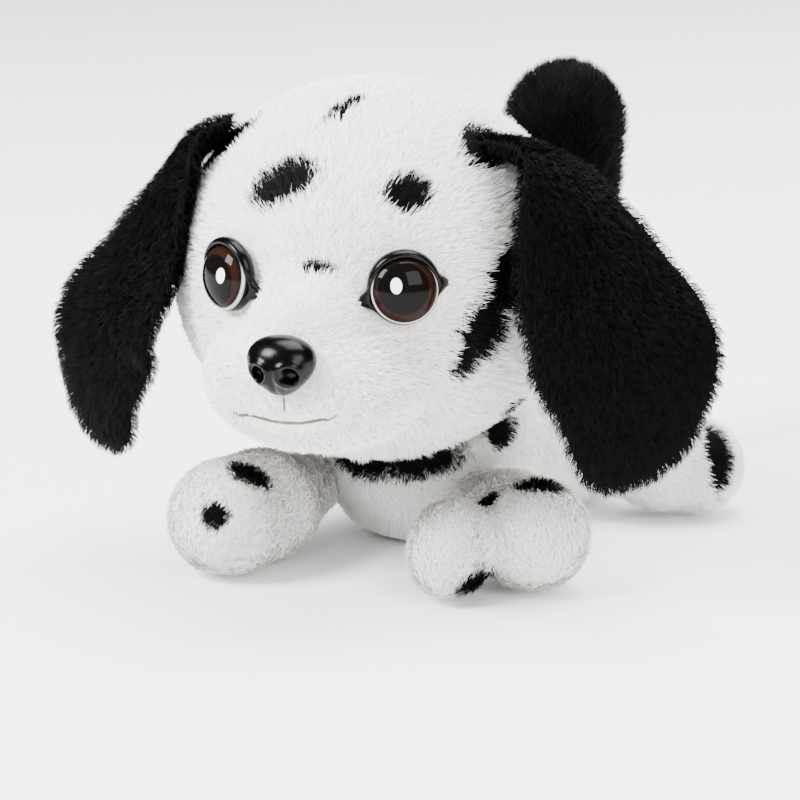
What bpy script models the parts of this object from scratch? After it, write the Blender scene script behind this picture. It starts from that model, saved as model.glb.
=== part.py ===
"""Interactive plush puppy lying on its belly, as an assembly of its real pieces.

Sizes are in millimetres and turned into metres when a mesh is made. +Z is up, the puppy faces -Y and
+X is its own left. The origin is on the flat underside of the rigid base, ahead of the battery door.
The head's pieces are drawn facing straight ahead and turned together by the neck_turn pivot.
"""

import math

import bmesh
import bpy
from mathutils import Matrix, Vector

MM = 0.001

# ---- driving sizes -------------------------------------------------------------------------------
SKIN = 6.0  # fleece and its backing, head
BODY_SKIN = 5.0  # fleece and its backing, body
GAP = 0.6  # clearance between pieces that are drawn apart
WALL = 2.4  # moulded head shell

NECK_Y = -46.0  # vertical turning axis of the neck
NOD_Z = 118.0  # height of the nodding axis
HEAD_TURN = 360.0 / 42.0  # the head rests one sector tooth off straight ahead, to the puppy's left

HEAD_CENTRE = (0.0, -75.0, 123.0)
HEAD_RADII = (84.0, 76.0, 78.0)
MUZZLE_CENTRE = (0.0, -140.0, 93.0)
MUZZLE_RADII = (46.0, 32.0, 28.0)
CUP_CENTRE = (0.0, -74.0, 122.5)  # hollow of the body that the head turns over
CUP_RADII = (99.0, 81.3, 82.6)

CHEST_CENTRE = (0.0, -26.0, 44.0)
CHEST_RADII = (50.0, 40.0, 56.0)
BELLY_CENTRE = (0.0, 35.0, 40.0)
BELLY_RADII = (60.0, 70.0, 56.0)

EYE_AT = (36.5, -143.0, 130.0)
EYE_YAW = 29.0
EYE_RISE = 5.0
EYE_RADIUS = 13.0
NOSE_AT = (0.0, -172.0, 106.5)
NOSE_RADII = (15.0, 10.5, 12.5)

EAR_ROOT = (58.5, -92.5, 178.5)
EAR_AXIS = (0.28, 0.93, -0.22)
EAR_REST = {"left": 5.0, "right": 0.0}  # how far each ear sits off its drawn line, degrees

MODULE = 0.8
SECTOR_TEETH = 42
PINION_TEETH = 10
GEAR_DISTANCE = MODULE * (SECTOR_TEETH + PINION_TEETH) / 2.0

TAIL_AXIS_Z = 72.0
TAIL_ROOT = (0.0, 97.0, 72.0)

BASE_X = 30.0
BASE_FRONT = -12.0
BASE_REAR = 62.0
BASE_TOP = 24.0
COVER_TOP = 64.0
FLOOR = 2.4

CELL_RADIUS = 7.25
CELL_FRONT = 6.2
CELL_REAR = 56.7
CELL_PITCH = 15.0
CELL_Z = 10.7

MATERIALS = {
    "white_fleece": ((0.90, 0.89, 0.86), 0.95, 0.0),
    "black_fleece": ((0.02, 0.02, 0.02), 0.95, 0.0),
    "stuffing": ((0.85, 0.85, 0.82), 1.0, 0.0),
    "shell_plastic": ((0.75, 0.75, 0.72), 0.5, 0.0),
    "gear_plastic": ((0.85, 0.83, 0.76), 0.4, 0.0),
    "black_plastic": ((0.03, 0.03, 0.03), 0.25, 0.0),
    "eye_plastic": ((0.12, 0.05, 0.02), 0.05, 0.0),
    "steel": ((0.60, 0.60, 0.60), 0.3, 1.0),
    "circuit_board": ((0.03, 0.20, 0.08), 0.5, 0.0),
    "cell_jacket": ((0.10, 0.20, 0.45), 0.35, 0.0),
    "speaker_frame": ((0.10, 0.10, 0.10), 0.5, 0.0),
}


# ---- scene helpers -------------------------------------------------------------------------------
def clear_scene():
    for obj in list(bpy.data.objects):
        bpy.data.objects.remove(obj, do_unlink=True)


def new_collection(name):
    collection = bpy.data.collections.new(name)
    bpy.context.scene.collection.children.link(collection)
    return collection


def make_material(name, colour, roughness, metallic):
    material = bpy.data.materials.new(name)
    material.use_nodes = True
    shader = material.node_tree.nodes["Principled BSDF"]
    shader.inputs["Base Color"].default_value = (*colour, 1.0)
    shader.inputs["Roughness"].default_value = roughness
    shader.inputs["Metallic"].default_value = metallic
    return material


clear_scene()
PET = new_collection("plush_puppy")
CUTTERS = new_collection("cutters")
CUTTERS.hide_render = True
MATERIAL = {name: make_material(name, *values) for name, values in MATERIALS.items()}
PIVOT_AT = {}


def add_pivot(name, at, parent=None, turn=0.0):
    """An empty on a joint axis. `at` is where it stands before any turning of its parents."""
    empty = bpy.data.objects.new(name, None)
    PET.objects.link(empty)
    PIVOT_AT[name] = Vector(at)
    base = Vector((0.0, 0.0, 0.0))
    if parent:
        empty.parent = bpy.data.objects[parent]
        base = PIVOT_AT[parent]
    empty.location = (Vector(at) - base) * MM
    empty.rotation_euler = (0.0, 0.0, math.radians(turn))
    return empty


def add_piece(name, bm, material=None, pivot=None):
    """Turns a bmesh drawn in millimetres into an object, hung on its joint's pivot if it has one."""
    bmesh.ops.scale(bm, vec=(MM, MM, MM), verts=bm.verts)
    bmesh.ops.recalc_face_normals(bm, faces=bm.faces)
    mesh = bpy.data.meshes.new(name)
    bm.to_mesh(mesh)
    bm.free()
    obj = bpy.data.objects.new(name, mesh)
    if material is None:
        CUTTERS.objects.link(obj)
        obj.hide_render = True
        obj.display_type = "WIRE"
    else:
        PET.objects.link(obj)
        mesh.materials.append(MATERIAL[material])
    if pivot:
        obj.parent = bpy.data.objects[pivot]
        obj.location = -PIVOT_AT[pivot] * MM
    return obj


def carve(target, operation, *others):
    for other in others:
        modifier = target.modifiers.new(f"{operation.lower()} {other.name}", "BOOLEAN")
        modifier.operation = operation
        modifier.solver = "EXACT"
        modifier.object = other


# ---- shapes --------------------------------------------------------------------------------------
def ellipsoid(centre, radii, segments=20, rings=12):
    bm = bmesh.new()
    bmesh.ops.create_uvsphere(bm, u_segments=segments, v_segments=rings, radius=1.0)
    bmesh.ops.scale(bm, vec=radii, verts=bm.verts)
    bmesh.ops.translate(bm, vec=centre, verts=bm.verts)
    return bm


def box(low, high):
    bm = bmesh.new()
    bmesh.ops.create_cube(bm, size=1.0)
    size = [b - a for a, b in zip(low, high)]
    middle = [(a + b) / 2.0 for a, b in zip(low, high)]
    bmesh.ops.scale(bm, vec=size, verts=bm.verts)
    bmesh.ops.translate(bm, vec=middle, verts=bm.verts)
    return bm


def frame_along(direction):
    """A rotation whose Z runs along the direction."""
    return Vector(direction).to_track_quat("Z", "Y").to_matrix().to_4x4()


def rod(start, end, radius, segments=16):
    start, end = Vector(start), Vector(end)
    bm = bmesh.new()
    bmesh.ops.create_cone(
        bm,
        cap_ends=True,
        segments=segments,
        radius1=radius,
        radius2=radius,
        depth=(end - start).length,
        matrix=Matrix.Translation((start + end) / 2.0) @ frame_along(end - start),
    )
    return bm


def skin_rings(bm, rings):
    """Joins rings of equal length into a closed skin, with a flat cap on each end ring."""
    count = len(rings[0])
    made = [[bm.verts.new(point) for point in ring] for ring in rings]
    for low, high in zip(made, made[1:]):
        for i in range(count):
            j = (i + 1) % count
            bm.faces.new((low[i], low[j], high[j], high[i]))
    bm.faces.new(list(reversed(made[0])))
    bm.faces.new(made[-1])


def lathe(profile, at, direction, segments=16):
    """A profile of (radius, height) turned round an axis through `at`."""
    matrix = Matrix.Translation(at) @ frame_along(direction)
    rings = []
    for radius, height in profile:
        ring = []
        for i in range(segments):
            angle = 2.0 * math.pi * i / segments
            ring.append(matrix @ Vector((radius * math.cos(angle), radius * math.sin(angle), height)))
        rings.append(ring)
    bm = bmesh.new()
    skin_rings(bm, rings)
    return bm


def limb(stations, segments=16, caps=3):
    """A stuffed limb: balls at the stations (x, y, z, radius) with the fabric drawn over them."""
    points = [Vector(station[:3]) for station in stations]
    radii = [station[3] for station in stations]
    rings = []
    steps = []
    for k in range(caps):
        angle = math.radians(90.0 * (k + 0.35) / caps - 90.0)
        steps.append((0, math.sin(angle), math.cos(angle)))
    for k in range(len(points)):
        steps.append((k, 0.0, 1.0))
    for k in range(caps):
        angle = math.radians(90.0 * (k + 0.65) / caps)
        steps.append((len(points) - 1, math.sin(angle), math.cos(angle)))
    for index, along, across in steps:
        before = points[max(index - 1, 0)]
        after = points[min(index + 1, len(points) - 1)]
        tangent = (after - before).normalized()
        side = tangent.cross(Vector((0.0, 0.0, 1.0))).normalized()
        up = side.cross(tangent)
        centre = points[index] + tangent * (along * radii[index])
        radius = radii[index] * across
        ring = []
        for i in range(segments):
            angle = 2.0 * math.pi * i / segments
            point = centre + side * (radius * math.cos(angle)) + up * (radius * math.sin(angle))
            ring.append((point.x, point.y, max(point.z, 0.0)))
        rings.append(ring)
    bm = bmesh.new()
    skin_rings(bm, rings)
    return bm


def prism(outline, matrix, low, high):
    """A flat outline drawn in the matrix's XY plane and given thickness along its Z."""
    bm = bmesh.new()
    skin_rings(bm, [[matrix @ Vector((x, y, w)) for x, y in outline] for w in (low, high)])
    return bm


def gear_outline(teeth, first, count, half_step, hub=None):
    """Straight-flanked teeth round a circle of `teeth`; outside them the outline drops to the hub."""
    pitch_radius = MODULE * teeth / 2.0
    pitch = 2.0 * math.pi / teeth
    tip = pitch_radius + 0.70 * MODULE
    root = pitch_radius - 1.05 * MODULE
    outline = []
    for k in range(count):
        middle = first + k * pitch + half_step * pitch
        for radius, fraction in ((root, -0.31), (tip, -0.10), (tip, 0.10), (root, 0.31)):
            angle = middle + fraction * pitch
            outline.append((radius * math.cos(angle), radius * math.sin(angle)))
    if hub:
        last = first + (count - 1) * pitch + 0.31 * pitch
        open_angle = 2.0 * math.pi - (last - (first - 0.31 * pitch))
        for k in range(1, 12):
            angle = last + open_angle * k / 12.0
            outline.append((hub * math.cos(angle), hub * math.sin(angle)))
    return outline


def mesh_matrix(centre, axis, towards):
    """Gear plane: Z along the axle, X from this gear's centre towards the gear it meshes with."""
    z_axis = Vector(axis).normalized()
    x_axis = Vector(towards).normalized()
    y_axis = z_axis.cross(x_axis)
    columns = Matrix((x_axis, y_axis, z_axis)).transposed().to_4x4()
    return Matrix.Translation(centre) @ columns


def sector_gear(centre, axis, towards, low, high, hub):
    pitch = 2.0 * math.pi / SECTOR_TEETH
    outline = gear_outline(SECTOR_TEETH, -4.0 * pitch, 9, 0.0, hub)
    return prism(outline, mesh_matrix(centre, axis, towards), low, high)


def pinion_gear(centre, axis, towards, low, high):
    outline = gear_outline(PINION_TEETH, math.pi, PINION_TEETH, 0.5)
    return prism(outline, mesh_matrix(centre, axis, towards), low, high)


def add_spring(name, start, end, radius, wire, turns, pivot=None):
    start, end = Vector(start), Vector(end)
    matrix = Matrix.Translation(start) @ frame_along(end - start)
    length = (end - start).length
    curve = bpy.data.curves.new(name, "CURVE")
    curve.dimensions = "3D"
    curve.bevel_depth = wire * MM
    curve.bevel_resolution = 0
    curve.use_fill_caps = True
    spline = curve.splines.new("POLY")
    per_turn = 8
    count = int(turns * per_turn) + 1
    spline.points.add(count - 1)
    for i in range(count):
        angle = 2.0 * math.pi * i / per_turn
        height = wire + (length - 2.0 * wire) * i / (count - 1)
        point = matrix @ Vector((radius * math.cos(angle), radius * math.sin(angle), height))
        spline.points[i].co = (*(point * MM), 1.0)
    curve.materials.append(MATERIAL["steel"])
    obj = bpy.data.objects.new(name, curve)
    PET.objects.link(obj)
    if pivot:
        obj.parent = bpy.data.objects[pivot]
        obj.location = -PIVOT_AT[pivot] * MM
    return obj


def grown(radii, by):
    return tuple(radius + by for radius in radii)


def mirrored(point, side):
    return (point[0] * side, point[1], point[2])


# ---- joint pivots --------------------------------------------------------------------------------
NECK_AT = (0.0, NECK_Y, NOD_Z)
add_pivot("neck_turn", NECK_AT, turn=HEAD_TURN)
add_pivot("head_nod", NECK_AT, "neck_turn")
add_pivot("ear_left_hinge", EAR_ROOT, "head_nod")
add_pivot("ear_right_hinge", mirrored(EAR_ROOT, -1), "head_nod")
add_pivot("nose_press", NOSE_AT, "head_nod")
add_pivot("head_pat_press", (0.0, -75.0, 190.0), "head_nod")
PINION_AT = (0.0, NECK_Y + GEAR_DISTANCE, 30.0)
add_pivot("neck_pinion_turn", PINION_AT)
TAIL_PINION_AT = (0.0, 50.0, TAIL_AXIS_Z - GEAR_DISTANCE)
add_pivot("tail_wag", TAIL_ROOT)
add_pivot("tail_pinion_turn", TAIL_PINION_AT)


# ---- head ----------------------------------------------------------------------------------------
def head_form(name, offset, material=None):
    """The head's outline moved in or out by `offset`, as one piece."""
    muzzle = add_piece(
        f"{name}_muzzle", ellipsoid(MUZZLE_CENTRE, grown(MUZZLE_RADII, offset), 16, 10), None, "head_nod"
    )
    form = add_piece(name, ellipsoid(HEAD_CENTRE, grown(HEAD_RADII, offset)), material, "head_nod")
    carve(form, "UNION", muzzle)
    return form


def eye_direction(side):
    yaw = math.radians(EYE_YAW)
    rise = math.radians(EYE_RISE)
    return Vector((side * math.sin(yaw) * math.cos(rise), -math.cos(yaw) * math.cos(rise), math.sin(rise)))


def along(point, direction, distance):
    return Vector(point) + Vector(direction) * distance


def build_head():
    skin = head_form("head_skin", 0.0, "white_fleece")
    front = head_form("head_shell_front", -SKIN - GAP, "shell_plastic")
    rear = add_piece(
        "head_shell_rear", ellipsoid(HEAD_CENTRE, grown(HEAD_RADII, -SKIN - GAP)), "shell_plastic", "head_nod"
    )
    lining = head_form("lining_space", -SKIN)
    hollow = head_form("shell_hollow", -SKIN - GAP - WALL)
    neck_hole = add_piece("neck_hole", rod((0, NECK_Y, 20), (0, NECK_Y, 84), 25.0), None, "head_nod")
    carve(skin, "DIFFERENCE", lining, neck_hole)
    carve(front, "DIFFERENCE", hollow, neck_hole)
    carve(rear, "DIFFERENCE", hollow, neck_hole)
    split = -62.0
    ahead = add_piece("ahead_of_split", box((-90, -190, 30), (90, split + 0.3, 210)), None, "head_nod")
    behind = add_piece("behind_split", box((-90, split - 0.3, 30), (90, 20, 210)), None, "head_nod")
    carve(front, "DIFFERENCE", behind)
    carve(rear, "DIFFERENCE", ahead)

    # Lugs of the rear shell that carry the nodding pin, and the shelf under the head's touch switch.
    rear_form = add_piece("rear_form", ellipsoid(HEAD_CENTRE, grown(HEAD_RADII, -SKIN - GAP)), None, "head_nod")
    for side in (-1, 1):
        lug = add_piece(
            f"lug_{side}",
            box((min(side * 12, side * 18), -54, 108), (max(side * 12, side * 18), 20, 128)),
            None,
            "head_nod",
        )
        carve(lug, "INTERSECT", rear_form)
        carve(rear, "UNION", lug)
    shelf = add_piece("shelf", box((-9, -58, 168), (9, 20, 171)), None, "head_nod")
    carve(shelf, "INTERSECT", rear_form)
    carve(rear, "UNION", shelf)
    pin_bore = add_piece("pin_bore", rod((-30, NECK_Y, NOD_Z), (30, NECK_Y, NOD_Z), 3.3), None, "head_nod")
    carve(rear, "DIFFERENCE", pin_bore)
    add_piece("nod_pin", rod((-18.5, NECK_Y, NOD_Z), (18.5, NECK_Y, NOD_Z), 3.0), "steel", "head_nod")

    # Openings of the skin and the shell for the eyes' stems, the nose's stem and the head's pat button.
    for side, label in ((1, "left"), (-1, "right")):
        centre = mirrored(EYE_AT, side)
        outward = eye_direction(side)
        seat = add_piece(
            f"eye_seat_{label}",
            rod(along(centre, outward, -2.6), along(centre, outward, 12), 19.0, 24),
            None,
            "head_nod",
        )
        carve(skin, "DIFFERENCE", seat)
        bore = add_piece(
            f"eye_bore_{label}",
            rod(along(centre, outward, -30), along(centre, outward, 2), 3.5, 16),
            None,
            "head_nod",
        )
        carve(skin, "DIFFERENCE", bore)
        carve(front, "DIFFERENCE", bore)
        groove = add_piece(
            f"ear_groove_{label}",
            rod(
                along(mirrored(EAR_ROOT, side), mirrored(EAR_AXIS, side), -21.5),
                along(mirrored(EAR_ROOT, side), mirrored(EAR_AXIS, side), 21.5),
                5.9,
            ),
            None,
            "head_nod",
        )
        carve(skin, "DIFFERENCE", groove)
    nose_bore = add_piece("nose_bore", rod((0, -190, 109), (0, -120, 109), 4.7, 16), None, "head_nod")
    carve(skin, "DIFFERENCE", nose_bore)
    carve(front, "DIFFERENCE", nose_bore)
    pat_bore = add_piece("pat_bore", rod((0, -75, 160), (0, -75, 196.8), 11.0, 24), None, "head_nod")
    carve(front, "DIFFERENCE", pat_bore)


def rim_outline(side, radius, corner):
    """A circle drawn out into a point at the inner and the outer corner of the eye."""
    outline = []
    for i in range(28):
        angle = 2.0 * math.pi * i / 28.0
        pull = max(0.0, abs(math.cos(angle)) - 0.86) / 0.14
        reach = radius + corner * pull * pull
        outline.append((reach * math.cos(angle), reach * math.sin(angle)))
    return outline


def build_eyes():
    for side, label in ((1, "left"), (-1, "right")):
        outward = eye_direction(side)
        base = along(mirrored(EYE_AT, side), outward, -2.0)
        dome = [(3.0, -17.0), (3.0, 0.0)]
        for k in range(5):
            angle = math.radians(80.0 * k / 4.0)
            dome.append((EYE_RADIUS * math.cos(angle), 1.2 + 7.0 * math.sin(angle)))
        dome.insert(2, (EYE_RADIUS, 0.0))
        add_piece(f"eye_{label}", lathe(dome, base, outward, 20), "eye_plastic", "head_nod")
        side_axis = Vector((0, 0, 1)).cross(outward).normalized()
        up_axis = outward.cross(side_axis)
        columns = Matrix((side_axis, up_axis, outward)).transposed().to_4x4()
        matrix = Matrix.Translation(base) @ columns
        rim = add_piece(
            f"eye_rim_{label}", prism(rim_outline(side, 15.6, 2.6), matrix, 0.0, 3.4), "black_plastic", "head_nod"
        )
        inside = add_piece(
            f"rim_hole_{label}", rod(along(base, outward, -2), along(base, outward, 6), 13.3, 20), None, "head_nod"
        )
        carve(rim, "DIFFERENCE", inside)
        washer = add_piece(
            f"eye_washer_{label}",
            rod(along(base, outward, -11.6), along(base, outward, -10.4), 6.0, 20),
            "steel",
            "head_nod",
        )
        hole = add_piece(
            f"washer_hole_{label}",
            rod(along(base, outward, -20), along(base, outward, -5), 3.2, 16),
            None,
            "head_nod",
        )
        carve(washer, "DIFFERENCE", hole)


def build_nose():
    nose = add_piece("nose_button", ellipsoid(NOSE_AT, NOSE_RADII, 18, 10), "black_plastic", "nose_press")
    keep_off = add_piece(
        "nose_keep_off", ellipsoid(MUZZLE_CENTRE, grown(MUZZLE_RADII, 2.4), 16, 10), None, "head_nod"
    )
    stem = add_piece("nose_stem", rod((0, -176, 109), (0, -147.6, 109), 4.0, 16), None, "nose_press")
    carve(nose, "DIFFERENCE", keep_off)
    carve(nose, "UNION", stem)
    add_spring("nose_spring", (0, -147.2, 109), (0, -139.5, 109), 2.7, 0.35, 3.0, "head_nod")
    add_piece("nose_switch", box((-6, -139.2, 104), (6, -134.4, 111.2)), "black_plastic", "head_nod")
    add_piece("head_board", box((-19, -134.1, 99), (19, -132.5, 134)), "circuit_board", "head_nod")


def build_head_pat():
    profile = [(13.0, -4.6), (13.0, -2.6), (10.3, -2.6), (10.3, 2.2), (8.5, 3.4)]
    add_piece(
        "head_pat_button", lathe(profile, (0, -75, 190), (0, 0, 1), 24), "shell_plastic", "head_pat_press"
    )
    add_spring("head_pat_spring", (0, -75, 178.2), (0, -75, 185.1), 5.0, 0.45, 3.5, "head_nod")
    add_piece("head_pat_switch", box((-8, -83, 172), (8, -67, 177.9)), "black_plastic", "head_nod")


EAR_SECTIONS = (
    # centre relative to the head's centre, half width, half thickness, direction across the ear
    ((58.5, -17.5, 55.5), 19.5, 4.6, (0.28, 0.93, -0.22)),
    ((80.2, -24.0, 48.0), 23.5, 5.0, (0.50, 0.75, -0.42)),
    ((90.0, -30.5, 28.0), 31.0, 6.5, (0.66, 0.56, -0.50)),
    ((98.0, -34.0, 2.0), 37.0, 7.0, (0.77, 0.45, -0.45)),
    ((107.0, -36.0, -22.5), 40.0, 7.0, (0.82, 0.49, -0.31)),
    ((109.0, -35.0, -45.0), 36.5, 7.0, (0.80, 0.55, -0.24)),
    ((107.0, -36.0, -63.0), 26.5, 6.5, (0.80, 0.55, -0.24)),
    ((105.0, -36.0, -74.0), 13.0, 4.5, (0.80, 0.55, -0.24)),
)


def build_ears():
    for side, label in ((1, "left"), (-1, "right")):
        centres = [Vector(HEAD_CENTRE) + Vector(section[0]) for section in EAR_SECTIONS]
        root = Vector(EAR_ROOT)
        rest = Matrix.Rotation(-math.radians(EAR_REST[label]), 4, Vector(EAR_AXIS))
        rings = []
        for k, (_, half_width, half_thick, across) in enumerate(EAR_SECTIONS):
            tangent = (centres[min(k + 1, 7)] - centres[max(k - 1, 0)]).normalized()
            across = Vector(across)
            across = (across - tangent * across.dot(tangent)).normalized()
            through = tangent.cross(across)
            ring = []
            for i in range(16):
                angle = 2.0 * math.pi * i / 16.0
                offset = across * (half_width * math.cos(angle)) + through * (half_thick * math.sin(angle))
                point = root + rest @ (centres[k] + offset - root)
                ring.append(mirrored(point, side))
            rings.append(ring)
        bm = bmesh.new()
        skin_rings(bm, rings)
        add_piece(f"ear_{label}", bm, "black_fleece", f"ear_{label}_hinge")


def build_neck():
    post = add_piece("neck_post", rod((0, NECK_Y, 35), (0, NECK_Y, 108), 9.0, 20), "gear_plastic", "neck_turn")
    hub = add_piece("neck_hub", rod((0, NECK_Y, 25.2), (0, NECK_Y, 36), 8.0, 20), None, "neck_turn")
    sector = add_piece(
        "neck_sector", sector_gear((0, NECK_Y, 30), (0, 0, 1), (0, 1, 0), -2.6, 2.4, 7.0), None, "neck_turn"
    )
    block = add_piece("neck_block", box((-8, NECK_Y - 7, 100), (8, NECK_Y + 7, 125)), None, "neck_turn")
    bore = add_piece("neck_bore", rod((-30, NECK_Y, NOD_Z), (30, NECK_Y, NOD_Z), 3.4), None, "neck_turn")
    carve(post, "UNION", hub, sector, block)
    carve(post, "DIFFERENCE", bore)

    case = add_piece("neck_gearcase", box((-17, -47, 22), (17, -13, 34.5)), "shell_plastic")
    nose_of_case = add_piece("case_front", rod((0, NECK_Y, 22), (0, NECK_Y, 34.5), 10.4, 24))
    sleeve = add_piece("case_sleeve", box((-13, -37.5, 9), (13, -13.3, 23)))
    room = add_piece("case_room", box((-15.3, -46.5, 24.4), (15.3, -14.6, 40)))
    hub_room = add_piece("case_hub_room", rod((0, NECK_Y, 24.4), (0, NECK_Y, 40), 8.8, 24))
    motor_room = add_piece("case_motor_room", rod((0, PINION_AT[1], 11), (0, PINION_AT[1], 30), 10.5, 24))
    carve(case, "UNION", nose_of_case, sleeve)
    carve(case, "DIFFERENCE", room, hub_room, motor_room)
    lid = add_piece("neck_gearcase_lid", box((-17, -47, 34.8), (17, -13, 36.2)), "shell_plastic")
    lid_front = add_piece("lid_front", rod((0, NECK_Y, 34.8), (0, NECK_Y, 36.2), 10.4, 24))
    lid_bore = add_piece("lid_bore", rod((0, NECK_Y, 30), (0, NECK_Y, 40), 9.5, 24))
    carve(lid, "UNION", lid_front)
    carve(lid, "DIFFERENCE", lid_bore)

    motor = [(10.0, 11.4), (10.0, 23.6), (3.0, 23.6), (3.0, 25.0), (1.0, 25.0), (1.0, 32.8)]
    add_piece("neck_motor", lathe(motor, (0, PINION_AT[1], 0), (0, 0, 1), 20), "steel")
    pinion = add_piece(
        "neck_pinion", pinion_gear(PINION_AT, (0, 0, 1), (0, 1, 0), -2.6, 2.4), "gear_plastic", "neck_pinion_turn"
    )
    shaft_bore = add_piece(
        "neck_shaft_bore", rod((0, PINION_AT[1], 20), (0, PINION_AT[1], 40), 1.25, 12), None, "neck_pinion_turn"
    )
    carve(pinion, "DIFFERENCE", shaft_bore)


# ---- body ----------------------------------------------------------------------------------------
def body_form(name, offset, material=None):
    """Chest and belly joined, hollowed for the head, and cut flat a little above the table."""
    chest = add_piece(f"{name}_chest", ellipsoid(CHEST_CENTRE, grown(CHEST_RADII, -offset), 18, 10))
    form = add_piece(name, ellipsoid(BELLY_CENTRE, grown(BELLY_RADII, -offset), 20, 12), material)
    cup = add_piece(f"{name}_cup", ellipsoid(CUP_CENTRE, grown(CUP_RADII, offset), 18, 12))
    below = add_piece(f"{name}_below", box((-80, -90, -60), (80, 120, 0.6 + offset)))
    carve(form, "UNION", chest)
    carve(form, "DIFFERENCE", cup, below)
    return form


LEGS = {
    # name: stations of the limb, hinge station first, as (x, y, z, radius)
    "leg_front_left": ((41, -52, 23, 15), (58, -64, 23, 20), (76, -78, 23.5, 23.5)),
    "leg_front_right": ((-40, -53, 23, 14), (-41, -72, 22.5, 16.8), (-39, -93, 23, 23), (-41, -118, 24, 24.5)),
    "leg_hind_left": ((61, 38, 21, 13.5), (75, 45, 21.5, 18.5), (88, 55, 21.5, 21.5)),
    "leg_hind_right": ((-61, 38, 21, 13.5), (-75, 45, 21.5, 18.5), (-88, 55, 21.5, 21.5)),
}
PAW_CENTRE = (53.0, -103.0, 20.5)
PAW_RADII = (16.5, 22.0, 20.5)


def build_body():
    skin = body_form("body_skin", 0.0, "white_fleece")
    lining = body_form("body_lining", BODY_SKIN)
    filling = body_form("body_stuffing", BODY_SKIN + GAP, "stuffing")
    carve(skin, "DIFFERENCE", lining)

    base_hole = add_piece(
        "base_hole", box((-BASE_X - GAP, BASE_FRONT - GAP, -5), (BASE_X + GAP, BASE_REAR + GAP, 30))
    )
    neck_way = add_piece("neck_way", rod((0, NECK_Y, 34), (0, NECK_Y, 60), 11.5, 24))
    tail_way = add_piece("tail_way", ellipsoid(TAIL_ROOT, (15.8, 15.8, 15.8), 12, 8))
    axle_way = add_piece("axle_way", rod((0, 70, TAIL_AXIS_Z), (0, 92, TAIL_AXIS_Z), 5.2))
    carve(skin, "DIFFERENCE", base_hole, neck_way, tail_way, axle_way)

    works = (
        ("works_base", (-BASE_X - GAP, BASE_FRONT - GAP, -5), (BASE_X + GAP, BASE_REAR + GAP, COVER_TOP + GAP)),
        ("works_turret", (-17.6, 43.4, 50), (17.6, BASE_REAR + GAP, 80.6)),
        ("works_case", (-17.6, -47.6, 21.4), (17.6, -8, 60)),
        ("works_sleeve", (-13.6, -38.1, -5), (13.6, -8, 30)),
    )
    for name, low, high in works:
        carve(filling, "DIFFERENCE", add_piece(name, box(low, high)))
    for name, start, end, radius in (
        ("works_front", (0, NECK_Y, 21.4), (0, NECK_Y, 60), 11.5),
        ("works_axle", (0, 50, TAIL_AXIS_Z), (0, 120, TAIL_AXIS_Z), 8.8),
        ("works_button", (0, 18, 50), (0, 18, 86), 13.0),
    ):
        carve(filling, "DIFFERENCE", add_piece(name, rod(start, end, radius)))
    carve(filling, "DIFFERENCE", tail_way)

    for name, stations in LEGS.items():
        x, y, z, radius = stations[0]
        add_pivot(f"{name}_splay", (x, y, z))
        is_paw = name == "leg_front_left"
        leg = add_piece(name, limb(stations), "white_fleece", f"{name}_splay")
        if is_paw:
            bm = ellipsoid(PAW_CENTRE, PAW_RADII, 16, 10)
            paw = add_piece("front_left_paw", bm, None, f"{name}_splay")
            carve(leg, "UNION", paw)
        socket = add_piece(f"{name}_socket", ellipsoid((x, y, z), grown((radius,) * 3, 1.8), 12, 7))
        carve(skin, "DIFFERENCE", socket)
        carve(filling, "DIFFERENCE", socket)


# ---- tail ----------------------------------------------------------------------------------------
TAIL_STATIONS = (
    (0, 97.0, 72.0, 13.0),
    (0, 99.5, 88.0, 15.0),
    (0, 102.0, 108.0, 19.5),
    (0, 103.5, 132.0, 25.0),
    (0, 104.0, 156.0, 27.5),
    (0, 104.0, 163.0, 27.0),
)


def tail_cover_mesh():
    """The tail club, a run of level rings with a ball at each end."""
    rings = []
    first = TAIL_STATIONS[0]
    for k in range(1, 5):
        angle = math.radians(-90.0 + 20.0 * k)
        rings.append((0, first[1], first[2] + first[3] * math.sin(angle), first[3] * math.cos(angle)))
    rings.extend(TAIL_STATIONS)
    last = TAIL_STATIONS[-1]
    for k in range(1, 6):
        angle = math.radians(16.0 * k)
        rings.append((0, last[1], last[2] + 0.88 * last[3] * math.sin(angle), last[3] * math.cos(angle)))
    bm = bmesh.new()
    drawn = []
    for x, y, z, radius in rings:
        turn = [2.0 * math.pi * i / 16.0 for i in range(16)]
        drawn.append([(x + radius * math.cos(a), y + radius * math.sin(a), z) for a in turn])
    skin_rings(bm, drawn)
    return bm


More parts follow.
